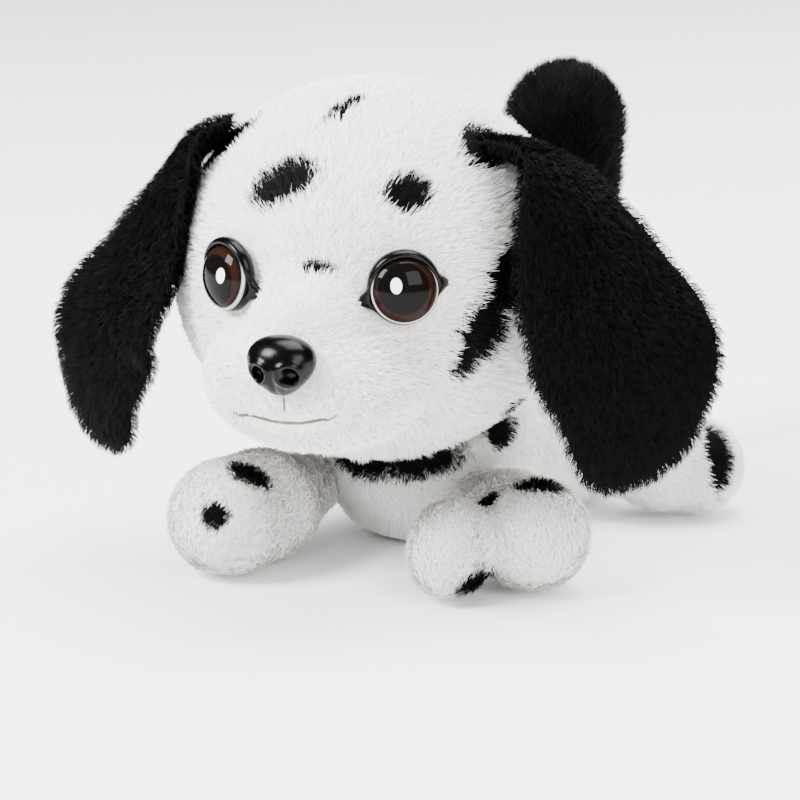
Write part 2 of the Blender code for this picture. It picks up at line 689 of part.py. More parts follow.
def build_tail():
    cover = add_piece("tail_cover", tail_cover_mesh(), "black_fleece", "tail_wag")
    core = add_piece(
        "tail_core", rod((0, 47.2, TAIL_AXIS_Z), (0, 99, TAIL_AXIS_Z), 4.0, 20), "gear_plastic", "tail_wag"
    )
    sector = add_piece(
        "tail_sector",
        sector_gear((0, 50, TAIL_AXIS_Z), (0, 1, 0), (0, 0, -1), -2.5, 2.5, 6.0),
        None,
        "tail_wag",
    )
    stalk = add_piece("tail_stalk", rod((0, 97, TAIL_AXIS_Z - 3), (0, 103, 140), 3.4, 16), None, "tail_wag")
    carve(core, "UNION", sector, stalk)
    stalk_room = add_piece("stalk_room", rod((0, 96.7, TAIL_AXIS_Z - 4.5), (0, 103.1, 141), 4.3, 16), None, "tail_wag")
    axle_room = add_piece("axle_room", rod((0, 60, TAIL_AXIS_Z), (0, 100, TAIL_AXIS_Z), 4.8, 20), None, "tail_wag")
    carve(cover, "DIFFERENCE", stalk_room, axle_room)

    motor = [(10.0, 27.0), (10.0, 44.6), (3.0, 44.6), (3.0, 46.0), (1.0, 46.0), (1.0, 53.0)]
    add_piece("tail_motor", lathe(motor, (0, 0, TAIL_PINION_AT[2]), (0, 1, 0), 20), "steel")
    pinion = add_piece(
        "tail_pinion", pinion_gear(TAIL_PINION_AT, (0, 1, 0), (0, 0, -1), -2.5, 2.5), "gear_plastic", "tail_pinion_turn"
    )
    bore = add_piece(
        "tail_shaft_bore",
        rod((0, 40, TAIL_PINION_AT[2]), (0, 60, TAIL_PINION_AT[2]), 1.25, 12),
        None,
        "tail_pinion_turn",
    )
    carve(pinion, "DIFFERENCE", bore)


# ---- works inside the body -----------------------------------------------------------------------
DOOR_X = 24.7
DOOR_FRONT = 4.3
DOOR_REAR = 59.7
TAB = ((-24.7, -5.7), (-14.3, 4.8))
DOOR_SCREW_AT = (-19.5, -1.0)
SWITCH_AT = (18.0, -5.0)


def build_base():
    tub = add_piece("base_tub", box((-BASE_X, BASE_FRONT, 0), (BASE_X, BASE_REAR, BASE_TOP)), "shell_plastic")
    inside = add_piece("tub_inside", box((-27.8, BASE_FRONT + 2.2, FLOOR), (27.8, 1.6, 30)))
    cells = add_piece("tub_cells", box((-27.8, 3.8, FLOOR), (27.8, 60.0, 30)))
    opening = add_piece("door_opening", box((-DOOR_X - 0.3, 4.0, -5), (DOOR_X + 0.3, 60.0, FLOOR + 1)))
    tab_opening = add_piece("tab_opening", box((-25.0, -6.0, -5), (-14.0, 4.5, 2.3)))
    boss = add_piece("screw_boss", rod((*DOOR_SCREW_AT, 2.3), (*DOOR_SCREW_AT, 16), 4.0, 16))
    ledge = add_piece("tab_ledge", box((-26.0, -7.5, 2.3), (-13.0, 3.9, 4.4)))
    hole = add_piece("screw_hole", rod((*DOOR_SCREW_AT, -2), (*DOOR_SCREW_AT, 14.5), 1.7, 12))
    slot = add_piece("switch_slot", box((12.5, -6.7, -5), (23.5, -3.3, 6)))
    carve(tub, "DIFFERENCE", inside, cells, opening, tab_opening)
    carve(tub, "UNION", ledge, boss)
    carve(tub, "DIFFERENCE", hole, slot)

    add_pivot("door_drop", (0, 32, 1.2))
    door = add_piece("battery_door", box((-DOOR_X, DOOR_FRONT, 0.3), (DOOR_X, DOOR_REAR, 2.1)), "shell_plastic", "door_drop")
    tab = add_piece("door_tab", box((*TAB[0], 0.3), (*TAB[1], 2.1)), None, "door_drop")
    tab_hole = add_piece("door_tab_hole", rod((*DOOR_SCREW_AT, -2), (*DOOR_SCREW_AT, 6), 1.8, 12), None, "door_drop")
    head_seat = add_piece("door_head_seat", rod((*DOOR_SCREW_AT, -2), (*DOOR_SCREW_AT, 1.3), 3.2, 16), None, "door_drop")
    carve(door, "UNION", tab)
    carve(door, "DIFFERENCE", tab_hole, head_seat)
    screw = [(2.8, 0.4), (2.8, 1.1), (1.4, 1.1), (1.4, 13.0), (0.4, 14.0)]
    add_piece("door_screw", lathe(screw, (*DOOR_SCREW_AT, 0), (0, 0, 1), 16), "steel", "door_drop")

    add_pivot("switch_slide", (*SWITCH_AT, 3.0))
    slider = add_piece("power_slider", box((13.0, -6.2, 0.6), (18.6, -3.8, 3.0)), "black_plastic", "switch_slide")
    flange = add_piece("slider_flange", box((11.5, -7.8, 2.8), (20.1, -2.2, 4.0)), None, "switch_slide")
    carve(slider, "UNION", flange)
    add_piece("power_switch", box((9.0, -8.6, 4.5), (27.0, -1.4, 10.5)), "black_plastic")


def build_cells():
    for k, x in enumerate((-CELL_PITCH, 0.0, CELL_PITCH)):
        can = [(CELL_RADIUS, CELL_FRONT), (CELL_RADIUS, CELL_REAR - 1.4), (2.7, CELL_REAR - 1.4), (2.7, CELL_REAR)]
        if k == 1:
            can = [(2.7, CELL_FRONT), (2.7, CELL_FRONT + 1.4), (CELL_RADIUS, CELL_FRONT + 1.4), (CELL_RADIUS, CELL_REAR)]
        add_piece(f"cell_{k + 1}", lathe(can, (x, 0, CELL_Z), (0, 1, 0), 20), "cell_jacket")
    add_piece("contact_front", box((-21, 4.6, 3.6), (21, 5.2, 18)), "steel")
    add_piece("contact_rear", box((-21, 57.7, 3.6), (21, 58.3, 18)), "steel")


def build_cover():
    cover = add_piece(
        "chassis_cover", box((-BASE_X, BASE_FRONT, BASE_TOP + 0.4), (BASE_X, BASE_REAR, COVER_TOP)), "shell_plastic"
    )
    turret = add_piece("cover_turret", box((-17, 44, 50), (17, BASE_REAR, 80)))
    room = add_piece("cover_room", box((-27.8, BASE_FRONT + 2.2, 10), (27.8, BASE_REAR - 2.2, COVER_TOP - 2.2)))
    turret_room = add_piece("turret_room", box((-15, 46, 40), (15, BASE_REAR - 2.2, 78)))
    rib = add_piece("motor_rib", box((-14, 33, 39), (14, 36, COVER_TOP - 1)))
    rib_bore = add_piece("rib_bore", rod((0, 28, TAIL_PINION_AT[2]), (0, 40, TAIL_PINION_AT[2]), 10.3, 24))
    shoulder = add_piece("cover_shoulder", box((-40, -20, COVER_TOP - 4), (40, BASE_FRONT + 1.6, 90)))
    boss = add_piece("axle_boss", rod((0, 59, TAIL_AXIS_Z), (0, 68, TAIL_AXIS_Z), 8.0, 20))
    axle_bore = add_piece("cover_axle_bore", rod((0, 57, TAIL_AXIS_Z), (0, 80, TAIL_AXIS_Z), 4.5, 20))
    button_bore = add_piece("cover_button_bore", rod((0, 18, 55), (0, 18, 70), 5.8, 20))
    carve(cover, "UNION", turret)
    carve(cover, "DIFFERENCE", room, turret_room)
    carve(cover, "UNION", rib, boss)
    carve(cover, "DIFFERENCE", rib_bore, axle_bore, button_bore)
    carve(cover, "DIFFERENCE", shoulder)
    for k in range(5):
        x = -8.0 + 4.0 * k
        reach = 8.0 - abs(x) / 3.0
        cut = add_piece(f"grille_{k}", box((x - 1, -20, 48 - reach), (x + 1, -9, 48 + reach)))
        carve(cover, "DIFFERENCE", cut)

    cone = [(14.5, -9.6), (14.5, -7.6), (10.0, -4.0), (10.0, 0.0)]
    add_piece("speaker", lathe(cone, (0, 0, 44.5), (0, 1, 0), 24), "speaker_frame")

    board = add_piece("main_board", box((-21, -8, 26), (21, 58, 27.6)), "circuit_board")
    for k, (low, high) in enumerate((((-12, 6), (2, 20)), ((8, 24), (18, 34)), ((-20, 34), (-8, 40)))):
        chip = add_piece(f"chip_{k}", box((*low, 27.2), (*high, 29.4)))
        carve(board, "UNION", chip)

    add_pivot("back_pat_press", (0, 18, 74))
    button = [(4.8, 57.6), (4.8, 75.0), (11.5, 75.0), (11.5, 81.0), (8.5, 84.0)]
    add_piece("back_pat_button", lathe(button, (0, 18, 0), (0, 0, 1), 24), "shell_plastic", "back_pat_press")
    add_spring("back_pat_spring", (0, 18, 64.3), (0, 18, 74.7), 8.0, 0.5, 4.0)
    add_piece("back_pat_switch", box((-8, 10, 49), (8, 26, 55.6)), "black_plastic")

    for k, (x, y) in enumerate(((-28.9, -11), (28.9, -11), (-28.9, 61), (28.9, 61))):
        inward = -3.6 if x > 0 else 3.6
        shift = 3.6 if y < 0 else -3.6
        screw = [(2.6, -2.4), (2.6, 0.0), (1.3, 0.0), (1.3, 9.0), (0.4, 10.0)]
        at = (x + inward, y + shift, 20.5)
        for pieces, low, high in ((("base_tub",), 12.0, 23.9), (("chassis_cover",), 24.4, 34.0)):
            post = add_piece(f"{pieces[0]}_post_{k}", rod((at[0], at[1], low), (at[0], at[1], high), 3.6, 10))
            seat = add_piece(f"{pieces[0]}_seat_{k}", rod((at[0], at[1], 10), (at[0], at[1], 32), 1.65, 8))
            carve(bpy.data.objects[pieces[0]], "UNION", post)
            carve(bpy.data.objects[pieces[0]], "DIFFERENCE", seat)
        well = add_piece(f"screw_well_{k}", rod((at[0], at[1], 8), (at[0], at[1], 20.6), 3.0, 10))
        carve(bpy.data.objects["base_tub"], "DIFFERENCE", well)
        add_piece(f"case_screw_{k + 1}", lathe(screw, at, (0, 0, 1), 10), "steel")


build_head()
build_eyes()
build_nose()
build_head_pat()
build_ears()
build_neck()
build_body()
build_tail()
build_base()
build_cells()
build_cover()
bpy.context.view_layer.update()
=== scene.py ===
"""Interactive plush puppy: its pile-fabric cover, its face and the finish of every piece of the works.

Shapes are worked out in millimetres and turned to metres when a mesh is made. +Z is up, the puppy
faces -Y and +X is its own left. The head's pieces are drawn looking straight ahead and are turned
about the neck as they are made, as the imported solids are.
"""

import math

import bmesh
import bpy
import numpy as np
from bpy.props import FloatProperty, FloatVectorProperty, PointerProperty
from mathutils import Matrix, Vector
from mathutils.kdtree import KDTree


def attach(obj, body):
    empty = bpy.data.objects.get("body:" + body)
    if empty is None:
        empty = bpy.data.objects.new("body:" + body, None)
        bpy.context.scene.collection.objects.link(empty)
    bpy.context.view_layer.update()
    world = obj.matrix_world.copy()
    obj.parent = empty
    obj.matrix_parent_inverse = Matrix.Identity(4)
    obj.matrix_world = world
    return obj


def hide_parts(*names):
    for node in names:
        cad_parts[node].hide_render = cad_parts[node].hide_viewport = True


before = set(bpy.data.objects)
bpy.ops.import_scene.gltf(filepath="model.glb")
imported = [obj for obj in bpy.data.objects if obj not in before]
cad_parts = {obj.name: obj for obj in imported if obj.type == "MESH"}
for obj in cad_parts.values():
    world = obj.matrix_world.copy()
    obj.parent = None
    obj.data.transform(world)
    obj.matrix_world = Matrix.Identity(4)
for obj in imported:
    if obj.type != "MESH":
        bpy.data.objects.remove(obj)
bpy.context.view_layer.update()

bl_info = {
    "name": "Plush puppy",
    "version": (1, 0, 0),
    "blender": (4, 5, 0),
    "location": "View3D > Sidebar > Plush puppy",
    "description": "Sewn cover, pile, face and finishes of an interactive plush puppy",
    "category": "Object",
}

MM = 0.001

# ---- places and sizes that the works fix, in millimetres -----------------------------------------
HEAD_TURN = 360.0 / 42.0  # one tooth of the neck sector, towards the puppy's left
NECK_Y = -46.0
NECK_BARE, NECK_TOP = 36.0, 80.0  # no pile within this radius of the neck below this height
HEAD_CENTRE = (0.0, -75.0, 123.0)
HEAD_RADII = (84.0, 76.0, 78.0)
MUZZLE_CENTRE = (0.0, -144.0, 93.0)
MUZZLE_RADII = (45.0, 34.0, 28.5)
BRIDGE_CENTRE = (0.0, -146.0, 116.0)
BRIDGE_RADII = (23.0, 22.5, 21.0)
CUP_CENTRE = (0.0, -74.0, 122.5)
CUP_RADII = (99.0, 81.3, 82.6)
CHEST_CENTRE = (0.0, -26.0, 44.0)
CHEST_RADII = (50.0, 40.0, 56.0)
BELLY_CENTRE = (0.0, 35.0, 40.0)
BELLY_RADII = (60.0, 70.0, 56.0)
EYE_AT = (36.5, -143.0, 130.0)
EYE_YAW, EYE_RISE, EYE_RADIUS = 29.0, 5.0, 13.0
EYE_SUNK = 2.0  # how deep the foot of the dome sits in its hollow
EYE_HOLLOW = 17.5  # radius of the hollow that each eye sits in
DOME_FOOT, DOME_RISE = 1.2, 7.0
SHANK_RADIUS, SHANK_END = 3.0, -17.0
LID_RADIUS, LID_HALF_WIDTH, LID_HALF_HEIGHT, LID_SIDES = 14.0, 1.0, 1.5, 12
NOSTRIL_AT, NOSTRIL_RADIUS, NOSTRIL_DEPTH = (6.2, -2.6), 2.7, 4.2  # place across and up from the nose's middle
NOSE_AT = (0.0, -175.5, 106.0)
NOSE_RADII = (13.2, 10.5, 12.0)
MOUTH = (
    (-23, -160, 87.5),
    (-16.5, -166, 83.0),
    (-8, -171, 81.0),
    (0, -172.5, 80.8),
    (7, -171, 81.8),
    (13, -168, 84.4),
    (18.5, -164, 89.5),
)
LIP = ((0, -174, 97), (0, -174.5, 91), (0, -173.5, 86.0))  # the seam from the nose down to the mouth
THREAD_PROUD = 0.3  # how far a stitch's middle stands off the cover's backing
EAR_ROOT = (58.5, -92.5, 178.5)
EAR_AXIS = (0.28, 0.93, -0.22)
EAR_REST = {1: 5.0, -1: 0.0}  # how far each ear swings back on its pin at rest, in degrees
EAR_SECTIONS = (
    # centre relative to the head's centre, half width, half thickness, direction across the ear,
    # and how much closer to the cheek the right ear hangs there
    ((58.5, -17.5, 55.5), 19.5, 4.6, (0.28, 0.93, -0.22), 0.0),
    ((78.7, -26.25, 49.26), 20.5, 5.0, (0.50, 0.75, -0.42), 11.0),
    ((87.69, -32.46, 29.75), 27.5, 6.5, (0.66, 0.56, -0.50), 12.5),
    ((96.46, -34.9, 2.9), 35.0, 7.0, (0.77, 0.45, -0.45), 9.5),
    ((107.0, -36.0, -22.5), 40.0, 7.0, (0.82, 0.49, -0.31), 5.0),
    ((106.0, -36.8, -44.5), 34.0, 7.0, (0.80, 0.55, -0.24), 2.0),
    ((101.5, -38.8, -58.0), 25.5, 6.0, (0.80, 0.55, -0.24), 0.0),
    ((97.0, -40.5, -66.5), 16.0, 4.8, (0.80, 0.55, -0.24), 0.0),
    ((94.0, -41.5, -71.5), 8.0, 3.0, (0.80, 0.55, -0.24), 0.0),
)
EAR_BACKING = 2.4  # how far the ear's backing lies inside its faces
EAR_LEAST = (2.0, 1.2)  # least half width and half thickness of the ear's backing
LEGS = {
    # name: stations of the limb, hinge station first, as (x, y, z, radius)
    "front_left": ((41, -52, 23, 15), (58, -64, 23, 20), (76, -78, 23.5, 23.5)),
    "front_right": ((-40, -53, 23, 14), (-41, -72, 22.5, 16.8), (-39, -93, 23, 23), (-41, -118, 24, 24.5)),
    "hind_left": ((61, 38, 21, 13.5), (75, 45, 21.5, 18.5), (88, 55, 21.5, 21.5)),
    "hind_right": ((-61, 38, 21, 13.5), (-75, 45, 21.5, 18.5), (-88, 55, 21.5, 21.5)),
}
PAW_CENTRE, PAW_RADII = (53.0, -103.0, 20.5), (16.5, 22.0, 20.5)  # the front left paw turns inwards
TAIL_STATIONS = (
    (0, 97.0, 72.0, 13.0),
    (0, 99.5, 88.0, 15.0),
    (0, 102.0, 108.0, 19.5),
    (0, 103.5, 132.0, 25.0),
    (0, 104.0, 158.0, 27.5),
)

# ---- the cover -----------------------------------------------------------------------------------
BACKING = 3.2  # how far the cover's backing lies inside the tips of the pile
LEG_FULLER = 0.9  # how much nearer the tips of the pile the legs' backing lies
TAIL_BACKING = 5.0
LEG_PILE = 0.78  # length of the legs' pile against the body's
UNDERSIDE = 1.2  # height of the flattened underside of the body and legs
FLOOR_GAP = 0.5  # lowest a strand may reach


def linear(code):
    """An sRGB hex colour as linear red, green and blue."""
    values = [int(code[i : i + 2], 16) / 255.0 for i in (1, 3, 5)]
    return tuple(v / 12.92 if v <= 0.04045 else ((v + 0.055) / 1.055) ** 2.4 for v in values)


class PuppyPile(bpy.types.PropertyGroup):
    """Pile of the cover"""

    density: FloatProperty(name="Density", description="Strands per square millimetre", default=2.2, min=0.1)
    head_length: FloatProperty(
        name="Head pile", description="Strand length on the head", default=6.0 * MM, unit="LENGTH"
    )
    ear_length: FloatProperty(
        name="Ear pile", description="Strand length on the ears", default=6.0 * MM, unit="LENGTH"
    )
    body_length: FloatProperty(
        name="Body pile", description="Strand length on the body and legs", default=5.6 * MM, unit="LENGTH"
    )
    tail_length: FloatProperty(
        name="Tail pile", description="Strand length on the tail", default=8.5 * MM, unit="LENGTH"
    )
    strand_width: FloatProperty(
        name="Strand width", description="Width of one lock of fibres", default=0.33 * MM, unit="LENGTH"
    )
    white: FloatVectorProperty(
        name="White", description="White pile", default=linear("#f6f4f1"), size=3, subtype="COLOR"
    )
    black: FloatVectorProperty(
        name="Black", description="Black pile", default=linear("#040405"), size=3, subtype="COLOR"
    )


class PuppyFace(bpy.types.PropertyGroup):
    """Eyes and nose"""

    iris: FloatVectorProperty(
        name="Iris", description="Colour of the printed iris", default=linear("#21130e"), size=3, subtype="COLOR"
    )
    pupil: FloatProperty(name="Pupil", description="Radius of the pupil", default=9.7 * MM, unit="LENGTH")


class PuppyStage(bpy.types.PropertyGroup):
    """Floor, lights and camera"""

    azimuth: FloatProperty(
        name="Azimuth", description="Camera's turn round the puppy", default=math.radians(29.0), subtype="ANGLE"
    )
    elevation: FloatProperty(
        name="Elevation", description="Camera's rise", default=math.radians(14.0), subtype="ANGLE"
    )
    distance: FloatProperty(name="Distance", description="Camera to head", default=1.2, unit="LENGTH")
    floor: FloatVectorProperty(
        name="Floor", description="Colour of the floor", default=linear("#fbfbfb"), size=3, subtype="COLOR"
    )


# ---- materials -----------------------------------------------------------------------------------
A_COLOUR, B_COLOUR, MIXED = 6, 7, 2  # a Mix node's colour sockets, by number


def add_node(tree, kind, inputs=None, **settings):
    """Adds a node with its settings; an input is given a value, or another node's output to link."""
    node = tree.nodes.new(kind)
    for name, value in settings.items():
        setattr(node, name, value)
    for name, value in (inputs or {}).items():
        if isinstance(value, bpy.types.NodeSocket):
            tree.links.new(value, node.inputs[name])
        else:
            node.inputs[name].default_value = value
    return node


def new_material(name, colour, roughness, **sockets):
    """A material with its shader's plain values set; returns it, its tree and its shader."""
    material = bpy.data.materials.new(name)
    material.use_nodes = True
    shader = material.node_tree.nodes["Principled BSDF"]
    shader.inputs["Base Color"].default_value = (*colour, 1.0)
    shader.inputs["Roughness"].default_value = roughness
    for socket, value in sockets.items():
        shader.inputs[socket.replace("_", " ")].default_value = value
    material.diffuse_color = (*colour, 1.0)
    return material, material.node_tree, shader


def scaled(colour, by):
    return tuple(min(1.0, max(0.0, v * k)) for v, k in zip(colour, by))


def solid(code):
    """An sRGB hex colour as a colour socket's value."""
    return (*linear(code), 1)


def pile_finishes(pile):
    """Acrylic pile: matt fibres in slightly different shades, so that neighbouring locks part; the paler black
    strands are also painted sheen on the black pile.
    """
    white, black = tuple(pile.white), tuple(pile.black)
    shades = (
        # name, colour, roughness, specular level
        ("white_acrylic_pile_bright", white, 0.75, 0.12),
        ("white_acrylic_pile_soft", scaled(white, (0.93, 0.93, 0.945)), 0.8, 0.12),
        ("white_acrylic_pile_warm", scaled(white, (0.955, 0.94, 0.905)), 0.8, 0.12),
        ("black_acrylic_pile_deep", scaled(black, (0.8, 0.8, 0.8)), 0.6, 0.05),
        # paler black strands: a tone scattered at random that is also painted sheen on the black pile
        ("black_acrylic_pile_soft", scaled(black, (2.2, 2.1, 2.1)), 0.5, 0.05),
    )
    return [new_material(name, colour, rough, Specular_IOR_Level=gloss)[0] for name, colour, rough, gloss in shades]


def backing_finish(pile):
    """Knitted backing seen between the fibres: loops 0.9 mm apart, black where the pile is black.

    The edge of a marking is ragged over 2.4 mm, as locks of pile are, and the white turns a little
    greyer and paler again over 17 mm.
    """
    material, tree, shader = new_material("knitted_backing", tuple(pile.white), 0.95, Specular_IOR_Level=0.15)
    place = add_node(tree, "ShaderNodeTexCoord").outputs["Object"]
    spot = add_node(tree, "ShaderNodeAttribute", attribute_name="dark").outputs["Fac"]
    edge = add_node(tree, "ShaderNodeTexNoise", {"Vector": place, "Scale": 420.0, "Detail": 3.0}).outputs["Fac"]
    ragged = add_node(tree, "ShaderNodeMath", {0: edge, 1: 0.5, 2: spot}, operation="MULTIPLY_ADD").outputs[0]
    sharp = add_node(tree, "ShaderNodeMapRange", {"Value": ragged, "From Min": 0.62, "From Max": 0.88}).outputs[0]
    tint = add_node(tree, "ShaderNodeTexNoise", {"Vector": place, "Scale": 60.0, "Detail": 4.0}).outputs["Fac"]
    shadow, white = (*scaled(pile.white, (0.8, 0.79, 0.77)), 1), (*pile.white, 1)
    pale = add_node(tree, "ShaderNodeMix", {"Factor": tint, A_COLOUR: shadow, B_COLOUR: white}, data_type="RGBA")
    black = (*scaled(pile.black, (0.8, 0.8, 0.8)), 1)
    mixed = {"Factor": sharp, A_COLOUR: pale.outputs[MIXED], B_COLOUR: black}
    colour = add_node(tree, "ShaderNodeMix", mixed, data_type="RGBA")
    tree.links.new(colour.outputs[MIXED], shader.inputs["Base Color"])
    loops = add_node(tree, "ShaderNodeTexVoronoi", {"Vector": place, "Scale": 1100.0})
    bump = add_node(tree, "ShaderNodeBump", {"Height": loops.outputs["Distance"], "Distance": 0.0003})
    tree.links.new(bump.outputs[0], shader.inputs["Normal"])
    return material


WORKS_FINISHES = {
    # slot: (real material, colour, roughness, metallic, surface, pattern scale per metre, bump in metres)
    # spark-eroded mould: an even, dull ivory
    "shell_plastic": ("abs", "#d9d7cf", 0.45, 0.0, "moulded", 2600.0, 0.00004),
    # acetal is waxy, and shines a little more
    "gear_plastic": ("acetal", "#e4dfcc", 0.32, 0.0, "moulded", 1800.0, 0.00003),
    # polished mould: deep black with clear, dim highlights
    "black_plastic": ("gloss_abs", "#030303", 0.2, 0.0, "moulded", 2600.0, 0.00003),
    # clear acrylic over print: nearly black and very smooth
    "eye_plastic": ("acrylic", "#0d0b0a", 0.06, 0.0, "moulded", 900.0, 0.00001),
    # drawn wire and strip: fine lines along one way
    "steel": ("steel", "#a9abae", 0.28, 1.0, "brushed", 1500.0, 0.00002),
    # green lacquer over copper, in cells 2.4 mm across
    "circuit_board": ("lacquered_glass_epoxy", "#135436", 0.38, 0.0, "tracks", 420.0, 0.00004),
    # shrunk sleeve: smooth, faintly uneven
    "cell_jacket": ("pvc_sleeve", "#2c4f86", 0.32, 0.0, "moulded", 700.0, 0.00001),
    # pressed and painted: dull and dark
    "speaker_frame": ("painted_steel", "#26272a", 0.55, 0.0, "moulded", 1500.0, 0.00005),
    # loose fill: soft lumps a few millimetres across
    "stuffing": ("polyester_fibrefill", "#eceae4", 0.95, 0.0, "fibres", 300.0, 0.0012),
    # brushed knit, drawn with grains of 1.1 mm so that they show
    "white_fleece": ("white_acrylic_plush", "#f2f0ec", 0.95, 0.0, "fibres", 900.0, 0.0004),
    "black_fleece": ("black_acrylic_plush", "#101011", 0.9, 0.0, "fibres", 900.0, 0.0004),
}
BLACK_PLASTIC_GLOSS = 0.14  # specular level of the nose and lids


def works_finish(slot):
    """Finish of a piece of the works: its surface shows how it was made, and its colour varies over 11 mm."""
    name, code, roughness, metallic, kind, scale, depth = WORKS_FINISHES[slot]
    colour = linear(code)
    material, tree, shader = new_material(f"{name}_{kind}", colour, roughness, Metallic=metallic)
    if slot == "black_plastic":
        shader.inputs["Specular IOR Level"].default_value = BLACK_PLASTIC_GLOSS
    place = add_node(tree, "ShaderNodeTexCoord").outputs["Object"]
    if kind == "brushed":
        place = add_node(tree, "ShaderNodeMapping", {"Vector": place, "Scale": (1.0, 1.0, 0.06)}).outputs[0]
    if kind == "tracks":
        cells = add_node(tree, "ShaderNodeTexVoronoi", {"Vector": place, "Scale": scale}, distance="MANHATTAN")
        pattern = cells.outputs["Distance"]
    else:
        grain = {"Vector": place, "Scale": scale, "Detail": 6.0 if kind == "fibres" else 2.0}
        pattern = add_node(tree, "ShaderNodeTexNoise", grain).outputs["Fac"]
    mottle = add_node(tree, "ShaderNodeTexNoise", {"Vector": place, "Scale": 90.0, "Detail": 3.0}).outputs["Fac"]
    dull, bright = ((*scaled(colour, (k, k, k)), 1) for k in (0.86, 1.08))
    shades = {"Factor": pattern if kind in ("tracks", "fibres") else mottle, A_COLOUR: dull, B_COLOUR: bright}
    tone = add_node(tree, "ShaderNodeMix", shades, data_type="RGBA")
    tree.links.new(tone.outputs[MIXED], shader.inputs["Base Color"])
    polish = {"Value": pattern, "To Min": max(0.03, roughness - 0.05), "To Max": min(1.0, roughness + 0.08)}
    tree.links.new(add_node(tree, "ShaderNodeMapRange", polish).outputs[0], shader.inputs["Roughness"])
    bump = add_node(tree, "ShaderNodeBump", {"Height": pattern, "Distance": depth})
    tree.links.new(bump.outputs[0], shader.inputs["Normal"])
    return material


PRINT = 32.0  # millimetres across the eye's UV map
# the pupil's and the glint's places from the middle of each eye, in millimetres
PUPIL_AND_GLINT = {1: ((-0.9, 1.1), (-3.9, 2.4)), -1: ((-0.4, -1.1), (4.0, 1.2))}


def eye_finish(face, side):
    """Polished acrylic dome, printed on its back: pupil, brown iris, dark and pale rings and a white glint."""
    material, tree, shader = new_material(f"printed_eye_{'left' if side > 0 else 'right'}", (0, 0, 0), 0.04)
    shader.inputs["Specular IOR Level"].default_value = 0.07
    uv = add_node(tree, "ShaderNodeUVMap", uv_map="across").outputs["UV"]
    place = add_node(tree, "ShaderNodeVectorMath", {0: uv, 1: (0.5, 0.5, 0.0)}, operation="SUBTRACT").outputs[0]
    iris = tuple(face.iris)
    # streaks in the print, 0.5 mm across
    streaks = {"Vector": place, "Scale": 70.0, "Detail": 4.0, "Roughness": 0.7}
    streaks = add_node(tree, "ShaderNodeTexNoise", streaks).outputs["Fac"]
    deep, light = (*scaled(iris, (0.55, 0.5, 0.5)), 1), (*scaled(iris, (1.35, 1.3, 1.25)), 1)
    brown = add_node(tree, "ShaderNodeMix", {"Factor": streaks, A_COLOUR: deep, B_COLOUR: light}, data_type="RGBA")
    pupil_at, glint_at = PUPIL_AND_GLINT[side]
    colour = solid("#0a0909")
    for above, (x, y), radius, soft, squeeze in (
        # what is printed next, centre, radius, half the width of its edge, how much narrower than high
        (solid("#c4bfba"), (0.0, 0.0), 12.7, 0.12, 1.0),
        (solid("#120d0b"), (-0.1, 0.25), 12.25, 0.15, 1.0),
        (brown.outputs[MIXED], (0.0, 0.0), 11.3, 0.25, 1.0),
        (solid("#0a0808"), pupil_at, face.pupil / MM, 0.25, 1.0),
        (solid("#f7f7f7"), glint_at, 3.0, 0.12, 1.4),
    ):
        shift = {"Vector": place, "Location": (-x * squeeze / PRINT, -y / PRINT, 0.0), "Scale": (squeeze, 1.0, 1.0)}
        shift = add_node(tree, "ShaderNodeMapping", shift).outputs[0]
        length = add_node(tree, "ShaderNodeVectorMath", {0: shift}, operation="LENGTH").outputs["Value"]
        edge = {"Value": length, "From Min": (radius - soft) / PRINT, "From Max": (radius + soft) / PRINT,
                "To Min": 1.0, "To Max": 0.0}
        inside = add_node(tree, "ShaderNodeMapRange", edge).outputs[0]
        printed = {"Factor": inside, A_COLOUR: colour, B_COLOUR: above}
        colour = add_node(tree, "ShaderNodeMix", printed, data_type="RGBA").outputs[MIXED]
    tree.links.new(colour, shader.inputs["Base Color"])
    return material


def thread_and_crease_shade_finish():
    """Polyester thread: two plies laid round each other every 0.8 mm, with a low sheen; along the mouth its
    grey-brown is also painted shade in the crease.
    """
    material, tree, shader = new_material("polyester_thread_and_painted_crease_shade", linear("#5c544f"), 0.6, Specular_IOR_Level=0.3)
    place = add_node(tree, "ShaderNodeTexCoord").outputs["Object"]
    plies = {"Vector": place, "Scale": 400.0, "Distortion": 1.0}
    lay = add_node(tree, "ShaderNodeTexWave", plies, bands_direction="DIAGONAL").outputs["Fac"]
    tones = {"Factor": lay, A_COLOUR: solid("#4c4541"), B_COLOUR: solid("#746b65")}
    tone = add_node(tree, "ShaderNodeMix", tones, data_type="RGBA")
    tree.links.new(tone.outputs[MIXED], shader.inputs["Base Color"])
    return material


# ---- fields: how far a point is outside a soft form, in millimetres ------------------------------
def ball(points, centre, radii):
    """Gap to an ellipsoid."""
    away = (points - np.array(centre, float)) / np.array(radii, float)
    near = np.linalg.norm(away, axis=1)
    slope = np.linalg.norm(away / np.array(radii, float), axis=1) + 1e-9
    return near * (near - 1.0) / slope


def limb(points, stations):
    """A chain of tapering rounded lengths through the stations."""
    best = None
    for (ax, ay, az, ar), (bx, by, bz, br) in zip(stations, stations[1:]):
        start, run = np.array((ax, ay, az), float), np.array((bx - ax, by - ay, bz - az), float)
        t = np.clip((points - start) @ run / (run @ run), 0.0, 1.0)
        gap = np.linalg.norm(points - start - t[:, None] * run, axis=1) - (ar + (br - ar) * t)
        best = gap if best is None else join(best, gap, 5.0)
    return best


def join(a, b, blend):
    """Both forms together, with a fillet `blend` millimetres wide between them."""
    h = np.clip(0.5 + 0.5 * (b - a) / blend, 0.0, 1.0)
    return b * (1.0 - h) + a * h - blend * h * (1.0 - h)


def cut(a, b, blend):
    """Form a without form b."""
    return -join(-a, b, blend)


